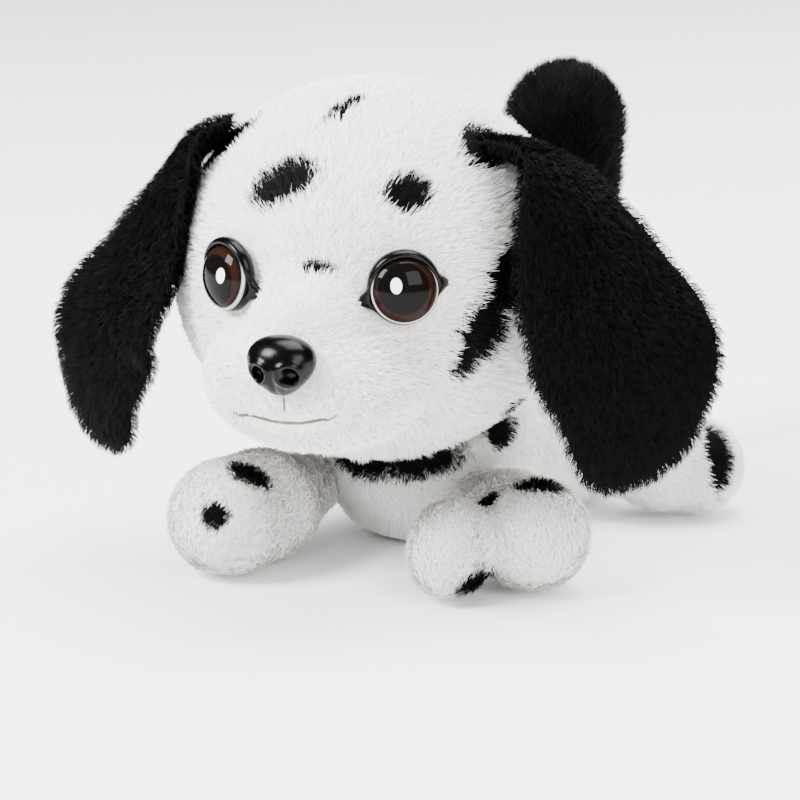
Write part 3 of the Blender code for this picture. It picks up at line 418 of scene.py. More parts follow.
def line_gap(points, line):
    """Distance from each point to a line of points."""
    best = np.full(len(points), 1e9)
    for a, b in zip(line, line[1:]):
        a, run = np.array(a, float), np.array(b, float) - np.array(a, float)
        t = np.clip((points - a) @ run / (run @ run), 0.0, 1.0)
        best = np.minimum(best, np.linalg.norm(points - a - t[:, None] * run, axis=1))
    return best


def settle(points, field, rounds=7):
    """Moves points on to the field's surface, no more than 4 mm at a time."""
    step = 0.25
    for _ in range(rounds):
        value = field(points)
        slope = np.stack([field(points + step * axis) - value for axis in np.eye(3)], axis=1) / step
        size = np.linalg.norm(slope, axis=1) + 1e-6
        points = points - slope * (np.clip(value / size, -4.0, 4.0) / size)[:, None]
    return points


def grown(radii, by):
    return tuple(r + by for r in radii)


def eye_direction(side):
    yaw, rise = math.radians(EYE_YAW), math.radians(EYE_RISE)
    return Vector((side * math.sin(yaw) * math.cos(rise), -math.cos(yaw) * math.cos(rise), math.sin(rise)))


def eye_frame(side):
    """Across, up and outward axes of an eye as columns, at the foot of its dome."""
    outward = eye_direction(side)
    across = Vector((0, 0, 1)).cross(outward).normalized()
    up = outward.cross(across)
    columns = Matrix((across, up, outward)).transposed().to_4x4()
    at = Vector((side * EYE_AT[0], EYE_AT[1], EYE_AT[2])) - EYE_SUNK * outward
    return Matrix.Translation(at) @ columns


def head_field(points):
    """Ball of the head, muzzle and bridge of the nose, with hollows for the eyes and a drawn-in mouth."""
    skull = ball(points, HEAD_CENTRE, grown(HEAD_RADII, -BACKING - 1.0))
    muzzle = ball(points, MUZZLE_CENTRE, grown(MUZZLE_RADII, -BACKING))
    bridge = ball(points, BRIDGE_CENTRE, grown(BRIDGE_RADII, -BACKING))
    gap = join(join(skull, muzzle, 11.0), bridge, 9.0)
    for side in (1, -1):
        outward = np.array(eye_direction(side))
        eye = np.array((side * EYE_AT[0], EYE_AT[1], EYE_AT[2]), float)
        gap = cut(gap, ball(points, eye + 11.0 * outward, (EYE_HOLLOW, EYE_HOLLOW, EYE_HOLLOW)), 4.0)
    for line, depth, wide in ((MOUTH, 2.6, 3.0), (LIP, 1.2, 1.8)):  # the stitches pull the cover in
        gap = gap + depth * np.exp(-((line_gap(points, line) / wide) ** 2))
    return gap


def body_field(points):
    """Chest and belly, hollowed under the head and flat beneath."""
    chest = ball(points, CHEST_CENTRE, grown(CHEST_RADII, -BACKING))
    belly = ball(points, BELLY_CENTRE, grown(BELLY_RADII, -BACKING))
    gap = join(chest, belly, 14.0)
    gap = cut(gap, ball(points, CUP_CENTRE, grown(CUP_RADII, 0.4)), 3.0)
    return cut(gap, points[:, 2] - UNDERSIDE, 3.0)


def leg_field(name):
    """The field of one leg; the front left one ends in a paw that turns inwards."""
    stations = [(x, y, z, r - BACKING + LEG_FULLER) for x, y, z, r in LEGS[name]]

    def field(points):
        gap = limb(points, stations)
        if name == "front_left":
            gap = join(gap, ball(points, PAW_CENTRE, grown(PAW_RADII, -BACKING + LEG_FULLER)), 8.0)
        return cut(gap, points[:, 2] - UNDERSIDE, 3.0)

    return field


def tail_field(points):
    return limb(points, [(x, y, z, r - TAIL_BACKING) for x, y, z, r in TAIL_STATIONS])


# ---- meshes --------------------------------------------------------------------------------------
def to_head(points):
    """Turns points drawn straight ahead to where the head rests."""
    a = math.radians(HEAD_TURN)
    turned = np.array(points, float)
    x, y = turned[:, 0].copy(), turned[:, 1] - NECK_Y
    turned[:, 0] = x * math.cos(a) - y * math.sin(a)
    turned[:, 1] = x * math.sin(a) + y * math.cos(a) + NECK_Y
    return turned


def to_rest(points):
    return np.array(points, float)


def evaluated_mesh(bm, *modifiers):
    """The mesh that the modifiers make of the bmesh."""
    mesh = bpy.data.meshes.new("rough")
    bm.to_mesh(mesh)
    bm.free()
    obj = bpy.data.objects.new("rough", mesh)
    bpy.context.scene.collection.objects.link(obj)
    for kind, settings in modifiers:
        modifier = obj.modifiers.new(kind.lower(), kind)
        for name, value in settings.items():
            setattr(modifier, name, value)
    bpy.context.view_layer.update()
    made = bpy.data.meshes.new_from_object(obj.evaluated_get(bpy.context.evaluated_depsgraph_get()))
    bpy.data.objects.remove(obj)
    bpy.data.meshes.remove(mesh)
    return made


def coordinates(mesh):
    """Places of a mesh's vertices, one to a row."""
    points = np.zeros(len(mesh.vertices) * 3, np.float32)
    mesh.vertices.foreach_get("co", points)
    return points.reshape(-1, 3).astype(float)


def move_vertices(mesh, points):
    mesh.vertices.foreach_set("co", points.astype(np.float32).ravel())


def balls_along(stations):
    """Balls along a limb, four from each station to the next."""
    balls = []
    for a, b in zip(stations, stations[1:]):
        start, run = np.array(a, float), np.array(b, float) - np.array(a, float)
        for k in range(4):
            x, y, z, radius = start + run * k / 3.0
            balls.append(((x, y, z), (radius, radius, radius)))
    return balls


def stuffed_form(balls, voxel, field, relaxed=2, rounds=7, last=3):
    """Balls joined by a voxel remesh, relaxed and then drawn on to the field's surface."""
    bm = bmesh.new()
    for centre, radii in balls:
        place = Matrix.Translation(centre) @ Matrix.Diagonal((*radii, 1.0))
        bmesh.ops.create_icosphere(bm, subdivisions=4, radius=1.0, matrix=place)
    mesh = evaluated_mesh(bm, ("REMESH", {"mode": "VOXEL", "voxel_size": voxel}))
    for _ in range(relaxed):
        move_vertices(mesh, settle(coordinates(mesh), field, rounds))
        bm = bmesh.new()
        bm.from_mesh(mesh)
        bmesh.ops.smooth_vert(bm, verts=bm.verts, factor=0.5, use_axis_x=True, use_axis_y=True, use_axis_z=True)
        bmesh.ops.recalc_face_normals(bm, faces=bm.faces)
        bm.to_mesh(mesh)
        bm.free()
    move_vertices(mesh, settle(coordinates(mesh), field, last))
    mesh.update()
    return mesh


class Surface:
    """A mesh drawn in millimetres as arrays: points, their normals and its triangles."""

    def __init__(self, mesh):
        self.points = coordinates(mesh)
        normals = np.zeros(len(mesh.vertices) * 3, np.float32)
        mesh.vertices.foreach_get("normal", normals)
        self.normals = normals.reshape(-1, 3).astype(float)
        mesh.calc_loop_triangles()
        corners = np.zeros(len(mesh.loop_triangles) * 3, np.int32)
        mesh.loop_triangles.foreach_get("vertices", corners)
        self.corners = corners.reshape(-1, 3)

    def scatter(self, count_for, rng, density):
        """Random roots on the surface, with their normals; count_for scales the density."""
        a, b, c = (self.points[self.corners[:, k]] for k in range(3))
        area = np.linalg.norm(np.cross(b - a, c - a), axis=1) / 2.0
        share = count_for((a + b + c) / 3.0, self.normals[self.corners].mean(axis=1))
        wanted = area * share * density
        total = int(wanted.sum())
        chosen = rng.choice(len(area), size=total, p=wanted / wanted.sum())
        u, v = rng.random(total), rng.random(total)
        over = u + v > 1.0
        u[over], v[over] = 1.0 - u[over], 1.0 - v[over]
        w = np.stack([1.0 - u - v, u, v], axis=1)[:, :, None]
        roots = (self.points[self.corners[chosen]] * w).sum(axis=1)
        normals = (self.normals[self.corners[chosen]] * w).sum(axis=1)
        return roots, normals / (np.linalg.norm(normals, axis=1)[:, None] + 1e-9)


FINISH = {}  # the finishes made so far


def link_piece(name, mesh, body, materials, replaces=()):
    """Puts a finished mesh in the scene, riding on its body."""
    obj = bpy.data.objects.new(name, mesh)
    bpy.context.scene.collection.objects.link(obj)
    for material in materials:
        obj.data.materials.append(material)
    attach(obj, body)
    if replaces:
        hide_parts(*replaces)
    return obj


def add_cover(name, mesh, place, darkness, body, node):
    """A stuffed cover: its backing, dark where the pile is dark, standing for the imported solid."""
    dark = mesh.attributes.new("dark", "FLOAT", "POINT")
    dark.data.foreach_set("value", darkness(coordinates(mesh)).astype(np.float32))
    move_vertices(mesh, place(coordinates(mesh)) * MM)
    mesh.shade_smooth()
    mesh.update()
    obj = link_piece(name, mesh, body, [FINISH["backing"]], (node,))


def unit(vectors):
    """Each row made one long."""
    return vectors / (np.linalg.norm(vectors, axis=1)[:, None] + 1e-9)


MOST_STRANDS = 65000  # strands in one piece; the rest go to further pieces
CLUMP = 11  # strands that lean together in one lock
BLACK_EDGE = 0.055  # how far the edge of a marking is mixed, in steps of darkness
SHADE_SHARES = (0.5, 0.27, 0.23)  # bright, soft and warm white among single strands
# the paler black strands and their share: painted sheen, scattered at random over the black pile
DEEP_BLACK, PALE_AND_SHEEN_BLACK, PALE_AND_SHEEN_BLACK_SHARE = 3, 4, 0.22


def grow_pile(name, surface, place, body, seed, length, comb, darkness, trim, lean=50.0, density=1.0,
              floor=False, soft_normals=0.6, scatter_turn=26.0, pull=0.4):
    """Strands of pile on a surface, each a thin tapering blade that bends over along the comb."""
    pile = bpy.context.scene.puppy_pile
    rng = np.random.default_rng(seed)
    many = pile.density * density * 1.0
    roots, normals = surface.scatter(lambda p, n: np.clip(trim(p, n) * 3.0, 0.0, 1.0), rng, many)
    keep = trim(roots, normals)
    roots, normals, keep = roots[keep > 0.02], normals[keep > 0.02], keep[keep > 0.02]
    count = len(roots)
    lengths = length * keep * rng.uniform(0.72, 1.15, count)
    along = comb(roots, normals)
    along = unit(along - normals * (along * normals).sum(axis=1)[:, None])
    beside = np.cross(normals, along)
    turn = np.radians(rng.normal(0.0, scatter_turn, count))[:, None]
    along = along * np.cos(turn) + beside * np.sin(turn)
    tilt = np.radians(lean + rng.normal(0.0, 9.0, count))[:, None]
    first = normals * np.cos(0.55 * tilt) + along * np.sin(0.55 * tilt)
    last = normals * np.cos(1.3 * tilt) + along * np.sin(1.3 * tilt)
    middle = roots + first * (0.5 * lengths)[:, None]
    tips = middle + last * (0.5 * lengths)[:, None]

    # each strand's tip is drawn towards the middle of its lock
    heads = rng.choice(count, size=max(1, count // CLUMP), replace=False)
    tree = KDTree(len(heads))
    for k, index in enumerate(heads):
        tree.insert(roots[index], k)
    tree.balance()
    group = np.array([tree.find(root)[1] for root in roots])
    members = np.bincount(group, minlength=len(heads))[:, None] + 1e-9
    together, halfway = (
        np.stack([np.bincount(group, ends[:, k], len(heads)) for k in range(3)], axis=1) / members
        for ends in (tips, middle)
    )
    sway = rng.normal(0.0, 0.09, (len(heads), 3)) * length
    aim = together + sway
    tips = tips + pull * (aim[group] - tips) + sway[group] * 0.5
    middle = middle + 0.4 * pull * (halfway[group] - middle)

    # a strand is a narrow quad with a triangle for its tip, and its normals round it off
    twist = np.radians(rng.normal(0.0, 24.0, count))[:, None]
    wide = np.cross(along, normals) * np.cos(twist) + normals * np.sin(twist)
    half = (0.5 * pile.strand_width / MM * rng.uniform(0.7, 1.25, count))[:, None]
    face = unit(np.cross(wide, last))
    sunk = roots - normals * 0.5
    points = np.stack([sunk - wide * half, sunk + wide * half, middle + wide * half * 0.85,
                       middle - wide * half * 0.85, tips], axis=1)
    low, high = soft_normals, 1.0 - soft_normals
    inner = unit(normals * (low + 0.2) + face * high)
    outer = unit(normals * low + face * (high + 0.1))
    bend = np.stack([inner - 0.25 * wide, inner + 0.25 * wide, outer + 0.25 * wide, outer - 0.25 * wide, outer],
                    axis=1)

    # shades: mostly mixed strand by strand, but some locks take one shade whole
    shade = rng.choice(3, size=count, p=SHADE_SHARES)
    lock_tone = rng.random(len(heads))[group]
    shade = np.where(lock_tone > 0.8, 1, np.where(lock_tone < 0.12, 2, shade))
    dark = darkness(roots)
    spots = dark + rng.normal(0.0, BLACK_EDGE, count) > 0.5
    # a share of the black strands take the paler black: painted sheen, scattered at random
    soft = rng.random(count) > 1.0 - PALE_AND_SHEEN_BLACK_SHARE
    shade = np.where(spots, np.where(soft, PALE_AND_SHEEN_BLACK, DEEP_BLACK), shade)

    pieces = max(1, math.ceil(count / MOST_STRANDS))
    order = np.argsort(roots[:, 1] + 0.001 * roots[:, 0], kind="stable") if pieces > 1 else np.arange(count)
    for number, part in enumerate(np.array_split(order, pieces)):
        label = name if pieces == 1 else f"{name}_{number + 1}"
        add_strands(label, points[part], bend[part], shade[part], place, body, floor)


def add_strands(name, points, normals, shade, place, body, floor):
    """One piece of pile, of strands with five points and two faces each."""
    count = len(points)
    flat = place(points.reshape(-1, 3))
    turned = place(normals.reshape(-1, 3) + points.reshape(-1, 3)) - flat
    if floor:
        flat[:, 2] = np.maximum(flat[:, 2], FLOOR_GAP)
    mesh = bpy.data.meshes.new(name)
    mesh.vertices.add(count * 5)
    move_vertices(mesh, flat * MM)
    base = np.arange(count)[:, None] * 5
    corners = np.concatenate([base + np.array([0, 1, 2, 3]), base + np.array([3, 2, 4])], axis=1)
    mesh.loops.add(count * 7)
    mesh.loops.foreach_set("vertex_index", corners.astype(np.int32).ravel())
    starts = (np.arange(count)[:, None] * 7 + np.array([0, 4])).astype(np.int32)
    mesh.polygons.add(count * 2)
    mesh.polygons.foreach_set("loop_start", starts.ravel())
    mesh.update(calc_edges=True)
    mesh.shade_smooth()
    mesh.normals_split_custom_set_from_vertices(unit(turned).astype(np.float32))
    link_piece(name, mesh, body, FINISH["pile"])
    mesh.polygons.foreach_set("material_index", np.repeat(shade, 2).astype(np.int32))


# ---- markings ------------------------------------------------------------------------------------
def ripple(points, size, seed):
    """A smooth random number from -1 to 1 that changes over `size` millimetres."""
    rng = np.random.default_rng(seed)
    total = np.zeros(len(points))
    for _ in range(6):
        wave = rng.normal(0.0, 1.0, 3)
        wave *= 2.0 * math.pi / (size * np.linalg.norm(wave) * rng.uniform(0.7, 1.5))
        total += np.sin(points @ wave + rng.uniform(0.0, 2.0 * math.pi))
    return total / 6.0


def waver(points, size, seed):
    """A push in a random way that changes over `size` millimetres."""
    return np.stack([ripple(points, size, seed + k) for k in range(3)], axis=1)


def blot(points, centre, long_half, short_half, along, facing, depth=16.0):
    """Reach of an oval marking: 1 at its middle, 0.5 on its edge. `along` is its long way."""
    out = Vector(facing).normalized()
    way = Vector(along)
    way = (way - out * way.dot(out)).normalized()
    cross = out.cross(way)
    away = points - np.array(centre, float)
    far = ((away @ np.array(way)) / long_half) ** 2 + ((away @ np.array(cross)) / short_half) ** 2
    far = np.sqrt(far + ((away @ np.array(out)) / depth) ** 2)
    return np.clip(1.0 - 0.5 * far, 0.0, 1.0)


def marked(points, blots, seed):
    """Darkness of the pile at each point, from 0 to 1, with slightly ragged edges to the markings."""
    best = np.zeros(len(points))
    for one in blots:
        best = np.maximum(best, blot(points, *one))
    return np.clip(best + 0.05 * ripple(points, 9.0, seed) + 0.03 * ripple(points, 3.5, seed + 1), 0.0, 1.0)


HEAD_BLOTS = (
    # centre, long half, short half, long way, facing, depth
    ((-17, -136, 167), 15.5, 9.6, (0.9, 0.1, 0.5), (-0.2, -0.75, 0.6), 16.0),
    ((33, -131, 165), 9.0, 8.0, (1.0, 0.2, 0.2), (0.4, -0.7, 0.6), 16.0),
    ((-2, -108, 193), 10.0, 3.4, (0.55, 0.85, 0.4), (0.0, -0.4, 0.9), 12.0),
    ((3, -149, 137), 7.0, 2.2, (1.0, 0.0, 0.0), (0.0, -0.9, 0.4), 12.0),
    ((53, -97, 180), 13.0, 10.0, (0.3, -1.0, -0.2), (0.7, -0.2, 0.7), 18.0),
    ((-57, -101, 173), 20.0, 10.0, (1.0, 0.0, 0.55), (-0.6, -0.35, 0.7), 18.0),
    ((70, -116, 132), 16.0, 9.0, (0.3, 0.5, 1.0), (0.85, -0.5, 0.1), 18.0),
    ((62, -124, 113), 14.0, 9.5, (0.3, 0.2, 1.0), (0.8, -0.6, 0.0), 18.0),
    ((56, -127, 100), 8.0, 6.0, (0.6, 0.2, 1.0), (0.75, -0.65, -0.2), 18.0),
    ((63, -90, 73), 6.5, 5.0, (1.0, 0.5, 0.5), (0.7, -0.2, -0.7), 14.0),
    ((-24, -20, 165), 11.0, 8.0, (1.0, 0.0, -0.6), (-0.3, 0.7, 0.6), 16.0),
    ((30, -8, 134), 12.0, 8.5, (0.4, 0.0, 1.0), (0.4, 0.9, 0.1), 16.0),
    ((-46, -16, 120), 9.0, 7.0, (0.3, 0.6, 1.0), (-0.6, 0.8, 0.0), 16.0),
    ((18, -50, 197), 9.0, 6.5, (1.0, 0.8, 0.0), (0.2, 0.3, 1.0), 14.0),
    ((-69, -104, 106), 10.0, 7.0, (0.2, 0.4, 1.0), (-1.0, -0.3, -0.1), 16.0),
)


BODY_BLOTS = (
    ((-12, -64, 40), 22.0, 9.0, (1.0, 0.1, -0.1), (0.0, -1.0, 0.1), 16.0),
    ((16, -64, 43), 22.0, 9.0, (1.0, 0.3, 0.25), (0.2, -1.0, 0.1), 16.0),
    ((45, -42, 53), 8.0, 7.0, (0.3, 0.8, 0.6), (0.8, -0.6, 0.0), 14.0),
    ((-30, 60, 90), 16.0, 11.0, (1.0, 0.5, 0.0), (-0.3, 0.3, 1.0), 16.0),
    ((34, 30, 88), 14.0, 10.0, (0.3, 1.0, 0.0), (0.5, 0.0, 1.0), 16.0),
    ((-52, 20, 62), 14.0, 10.0, (0.0, 1.0, 0.4), (-1.0, 0.0, 0.4), 16.0),
    ((50, 66, 58), 13.0, 9.0, (0.3, -0.6, 0.7), (0.8, 0.5, 0.3), 16.0),
    ((24, 96, 46), 11.0, 9.0, (1.0, 0.0, 0.4), (0.2, 1.0, 0.1), 16.0),
)


LEG_BLOTS = {
    "front_left": (
        ((80, -80, 46), 10.0, 5.5, (1.0, 0.6, 0.3), (0.1, -0.3, 1.0), 14.0),
        ((61, -88, 40), 6.0, 5.0, (1.0, 0.0, 0.3), (0.0, -0.5, 1.0), 12.0),
        ((65, -104, 7), 9.0, 7.5, (0.0, 0.0, 1.0), (0.4, -1.0, 0.0), 14.0),
    ),
    "front_right": (
        ((-30, -118, 45), 8.5, 7.0, (1.0, 0.6, 0.0), (0.0, -0.3, 1.0), 13.0),
        ((-34, -139, 33), 6.0, 5.0, (1.0, 0.3, 0.3), (0.0, -0.7, 0.7), 12.0),
    ),
    "hind_left": (((102, 46, 30), 15.0, 6.0, (-0.1, 0.15, 1.0), (0.8, -0.6, 0.3), 16.0),),
    "hind_right": (((-97, 52, 38), 9.5, 6.5, (0.8, 0.7, 0.0), (-0.4, -0.2, 0.9), 16.0),),
}


def head_dark(points):
    return marked(points, HEAD_BLOTS, 11)


def body_dark(points):
    return marked(points, BODY_BLOTS, 23)


def all_dark(points):
    return np.ones(len(points))


# ---- operators -----------------------------------------------------------------------------------
class PUPPY_OT_finishes(bpy.types.Operator):
    """Make the finishes, and give every piece of the works its own"""

    bl_idname = "puppy.finishes"
    bl_label = "Finishes"

    def execute(self, context):
        FINISH["pile"] = pile_finishes(context.scene.puppy_pile)
        FINISH["backing"] = backing_finish(context.scene.puppy_pile)
        FINISH["thread"] = thread_and_crease_shade_finish()
        made = {}
        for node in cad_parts.values():
            for k, held in enumerate(node.material_slots):
                slot = held.material.name.split(".")[0] if held.material else "shell_plastic"
                if slot not in WORKS_FINISHES:
                    raise RuntimeError(f"no finish is set down for {slot}")
                if slot not in made:
                    made[slot] = works_finish(slot)
                node.material_slots[k].material = made[slot]
        FINISH.update({f"works_{slot}": material for slot, material in made.items()})
        return {"FINISHED"}


class PUPPY_OT_head(bpy.types.Operator):
    """Make the head's stuffed cover and its pile"""

    bl_idname = "puppy.head"
    bl_label = "Head"

    def execute(self, context):
        voxel = 1.9
        balls = ((HEAD_CENTRE, HEAD_RADII), (MUZZLE_CENTRE, MUZZLE_RADII), (BRIDGE_CENTRE, BRIDGE_RADII))
        mesh = stuffed_form(balls, voxel, head_field)
        surface = Surface(mesh)
        add_cover("head_cover", mesh, to_head, head_dark, "head", "head_skin")
        nose = np.array(NOSE_AT, float)

        def comb(points, normals):
            return unit(points - nose) + np.array((0.0, 0.0, -0.25)) + 0.2 * waver(points, 24.0, 31)

        def trim(points, normals):
            """Short on the muzzle, round the eyes and along the mouth; none under the eyes, nose and neck."""
            kept = np.ones(len(points))
            face = np.clip((np.linalg.norm(points - nose, axis=1) - 14.0) / 46.0, 0.0, 1.0)
            kept *= 0.5 + 0.5 * face
            for side in (1, -1):
                place = np.array(eye_frame(side).inverted())
                local = points @ place[:3, :3].T + place[:3, 3]
                gap = np.linalg.norm(local[:, :2], axis=1)
                near = local[:, 2] > -12.0
                kept = np.where(near & (gap < LID_RADIUS + 0.2), 0.0, kept)
                kept = np.where(near, kept * np.clip(0.35 + (gap - LID_RADIUS) / 16.0, 0.35, 1.0), kept)
            out = (points - nose) / (np.array(NOSE_RADII) * 0.93)
            kept = np.where(np.linalg.norm(out, axis=1) < 1.0, 0.0, kept)
            kept *= np.clip(line_gap(points, MOUTH) / 7.0 - 0.15, 0.0, 1.0)
            kept *= np.clip(0.35 + line_gap(points, LIP) / 3.5, 0.0, 1.0)
            hidden = (points[:, 2] < 72.0) & (points[:, 1] > -95.0) & (normals[:, 2] < -0.4)
            kept = np.where(hidden, kept * 0.5, kept)
            neck = (np.hypot(points[:, 0], points[:, 1] - NECK_Y) < NECK_BARE) & (points[:, 2] < NECK_TOP)
            return np.where(neck, 0.0, kept)

        length = context.scene.puppy_pile.head_length / MM
        grow_pile("head_pile", surface, to_head, "head", 101, length, comb, head_dark, trim,
                  lean=54.0, soft_normals=0.72)
        return {"FINISHED"}


def smooth_run(values, steps):
    """Values joined by a smooth curve with `steps` steps between each two."""
    values = [np.array(v, float) for v in values]
    padded = [2 * values[0] - values[1], *values, 2 * values[-1] - values[-2]]
    run = []
    for k in range(1, len(padded) - 2):
        p0, p1, p2, p3 = padded[k - 1 : k + 3]
        for step in range(steps):
            t = step / steps
            run.append(0.5 * (2 * p1 + (p2 - p0) * t + (2 * p0 - 5 * p1 + 4 * p2 - p3) * t * t
                              + (3 * p1 - p0 - 3 * p2 + p3) * t ** 3))
    return [*run, values[-1]]


def ear_mesh(side):
    """The ear as loops across it, bridged from root to tip and closed at both ends."""
    rows = []
    for (x, y, z), wide, thick, across, inwards in EAR_SECTIONS:
        rows.append((x - inwards if side < 0 else x, y, z, wide, thick, *across))
    rows = smooth_run(rows, 4)
    root = Vector(EAR_ROOT)
    rest = Matrix.Rotation(-math.radians(EAR_REST[side]), 4, Vector(EAR_AXIS))
    bm = bmesh.new()
    loops = []
    for k, row in enumerate(rows):
        centre = Vector(HEAD_CENTRE) + Vector(row[:3])
        tangent = Vector(rows[min(k + 1, len(rows) - 1)][:3]) - Vector(rows[max(k - 1, 0)][:3])
        tangent.normalize()
        across = Vector(row[5:8])
        across = (across - tangent * across.dot(tangent)).normalized()
        through = tangent.cross(across)
        wide, thick = max(row[3] - BACKING, EAR_LEAST[0]), max(row[4] - EAR_BACKING, EAR_LEAST[1])
        columns = Matrix((across * wide, through * thick, tangent)).transposed().to_4x4()
        place = Matrix.Translation(root) @ rest @ Matrix.Translation(centre - root) @ columns
        if side < 0:
            place = Matrix.Diagonal((-1.0, 1.0, 1.0, 1.0)) @ place
        made = bmesh.ops.create_circle(bm, segments=40, radius=1.0, cap_ends=k in (0, len(rows) - 1), matrix=place)
        edges = {e for v in made["verts"] for e in v.link_edges if all(x in made["verts"] for x in e.verts)}
        loops.append([e for e in edges if sum(f is not None for f in e.link_faces) <= 1])
    for one, two in zip(loops, loops[1:]):
        bmesh.ops.bridge_loops(bm, edges=one + two)
    bmesh.ops.recalc_face_normals(bm, faces=bm.faces)
    mesh = bpy.data.meshes.new("ear")
    bm.to_mesh(mesh)
    bm.free()
    return mesh


class PUPPY_OT_ears(bpy.types.Operator):
    """Make both hanging ears and their pile"""

    bl_idname = "puppy.ears"
    bl_label = "Ears"

    def execute(self, context):
        length = context.scene.puppy_pile.ear_length / MM
        for side, label in ((1, "left"), (-1, "right")):
            mesh = ear_mesh(side)
            surface = Surface(mesh)
            body = f"{label}_ear"
            add_cover(f"ear_{label}_cover", mesh, to_head, all_dark, body, f"ear_{label}")
            middle = np.array(HEAD_CENTRE) + np.array((side * 104.0, -31.0, -20.0))

            def comb(points, normals):
                down = np.array((side * 0.25, -0.1, -1.0))
                return down + 0.35 * unit(points - middle) + 0.25 * waver(points, 20.0, 41)

            def trim(points, normals):
                """None where the ear is sewn into the head."""
                inside = np.linalg.norm((points - np.array(HEAD_CENTRE)) / np.array(HEAD_RADII), axis=1) < 0.94
                return np.where(inside, 0.0, 1.0)

            grow_pile(f"ear_{label}_pile", surface, to_head, body, 200 + side, length,
                      comb, all_dark, trim, lean=52.0, density=1.15, soft_normals=0.45)
        return {"FINISHED"}


class PUPPY_OT_body(bpy.types.Operator):
    """Make the body's stuffed cover and its pile"""

    bl_idname = "puppy.body"
    bl_label = "Body"

    def execute(self, context):
        voxel = 2.3
        balls = ((CHEST_CENTRE, CHEST_RADII), (BELLY_CENTRE, BELLY_RADII))
        mesh = stuffed_form(balls, voxel, body_field, relaxed=3, rounds=10, last=4)
        surface = Surface(mesh)
        add_cover("body_cover", mesh, to_rest, body_dark, "torso", "body_skin")

        def comb(points, normals):
            return np.array((0.0, 0.6, -0.8)) + 0.3 * waver(points, 24.0, 51)

        def trim(points, normals):
            """None underneath, and short on the chest and under the head."""
            under = (normals[:, 2] < -0.55) & (points[:, 2] < 6.0)
            kept = np.where(under, 0.0, 1.0)
            cup = np.linalg.norm((points - np.array(CUP_CENTRE)) / np.array(CUP_RADII), axis=1)
            kept = np.where((cup < 1.03) & (points[:, 2] < 96.0), kept * 0.4, kept)
            chest = np.clip((points[:, 1] + 40.0) / 40.0, 0.0, 1.0)
            return kept * (0.62 + 0.38 * chest)

        length = context.scene.puppy_pile.body_length / MM
        grow_pile("body_pile", surface, to_rest, "torso", 301, length, comb, body_dark, trim,
                  lean=58.0, density=0.9, floor=True, soft_normals=0.82, scatter_turn=18.0, pull=0.2)
        return {"FINISHED"}


class PUPPY_OT_legs(bpy.types.Operator):
    """Make the four stuffed legs and their pile"""

    bl_idname = "puppy.legs"
    bl_label = "Legs"

    def execute(self, context):
        length = LEG_PILE * context.scene.puppy_pile.body_length / MM
        for number, (name, stations) in enumerate(LEGS.items()):
            balls = balls_along(stations)
            if name == "front_left":
                balls.append((PAW_CENTRE, PAW_RADII))
            mesh = stuffed_form(balls, 1.6, leg_field(name))
            surface = Surface(mesh)
            blots = LEG_BLOTS[name]

            def dark(points):
                return marked(points, blots, 61 + number)

            body = f"{name}_leg"
            add_cover(f"{name}_leg_cover", mesh, to_rest, dark, body, f"leg_{name}")
            hip = np.array(stations[0][:3], float)

            def comb(points, normals):
                return unit(points - hip) + np.array((0.0, 0.0, -0.55)) + 0.16 * waver(points, 20.0, 71)

            def trim(points, normals):
                """None underneath, nor where the leg is inside the body."""
                under = (normals[:, 2] < -0.6) & (points[:, 2] < 5.0)
                chest, belly = ball(points, CHEST_CENTRE, CHEST_RADII), ball(points, BELLY_CENTRE, BELLY_RADII)
                return np.where(under | (np.minimum(chest, belly) < -6.0), 0.0, 1.0)

            grow_pile(f"{name}_leg_pile", surface, to_rest, body, 400 + number, length, comb,
                      dark, trim, lean=60.0, density=1.15, floor=True, soft_normals=0.86, scatter_turn=14.0,
                      pull=0.12)
        return {"FINISHED"}


class PUPPY_OT_tail(bpy.types.Operator):
    """Make the club-shaped tail and its long pile"""

    bl_idname = "puppy.tail"
    bl_label = "Tail"

    def execute(self, context):
        mesh = stuffed_form(balls_along(TAIL_STATIONS), 1.8, tail_field)
        surface = Surface(mesh)
        add_cover("tail_pad", mesh, to_rest, all_dark, "tail", "tail_cover")

        def comb(points, normals):
            return np.array((0.0, 0.1, 0.8)) + 0.4 * normals + 0.5 * waver(points, 16.0, 81)

        def trim(points, normals):
            return np.ones(len(points))

        length = context.scene.puppy_pile.tail_length / MM
        grow_pile("tail_pile", surface, to_rest, "tail", 501, length, comb, all_dark, trim,
                  lean=42.0, density=1.25, soft_normals=0.4, scatter_turn=38.0)
        return {"FINISHED"}


def spin_round(bm, verts, edges, steps):
    """Spins a profile a full turn about +Z."""
    bmesh.ops.spin(bm, geom=verts + edges, cent=(0, 0, 0), axis=(0, 0, 1), dvec=(0, 0, 0),
                   angle=2.0 * math.pi, steps=steps, use_merge=True)
    bmesh.ops.remove_doubles(bm, verts=bm.verts, dist=1e-4)


def bmesh_to_head(bm, name):
    """The bmesh as a mesh in metres, turned with the head."""
    bmesh.ops.recalc_face_normals(bm, faces=bm.faces)
    mesh = bpy.data.meshes.new(name)
    bm.to_mesh(mesh)
    bm.free()
    move_vertices(mesh, to_head(coordinates(mesh)) * MM)
    mesh.shade_smooth()
    mesh.update()
    return mesh


def fold(angle, at, wide):
    """Reach of a fold in the lid: 1 `at` degrees round the eye, falling off over `wide` degrees."""
    away = (angle - math.radians(at) + math.pi) % (2.0 * math.pi) - math.pi
    return math.exp(-((away / math.radians(wide)) ** 2))


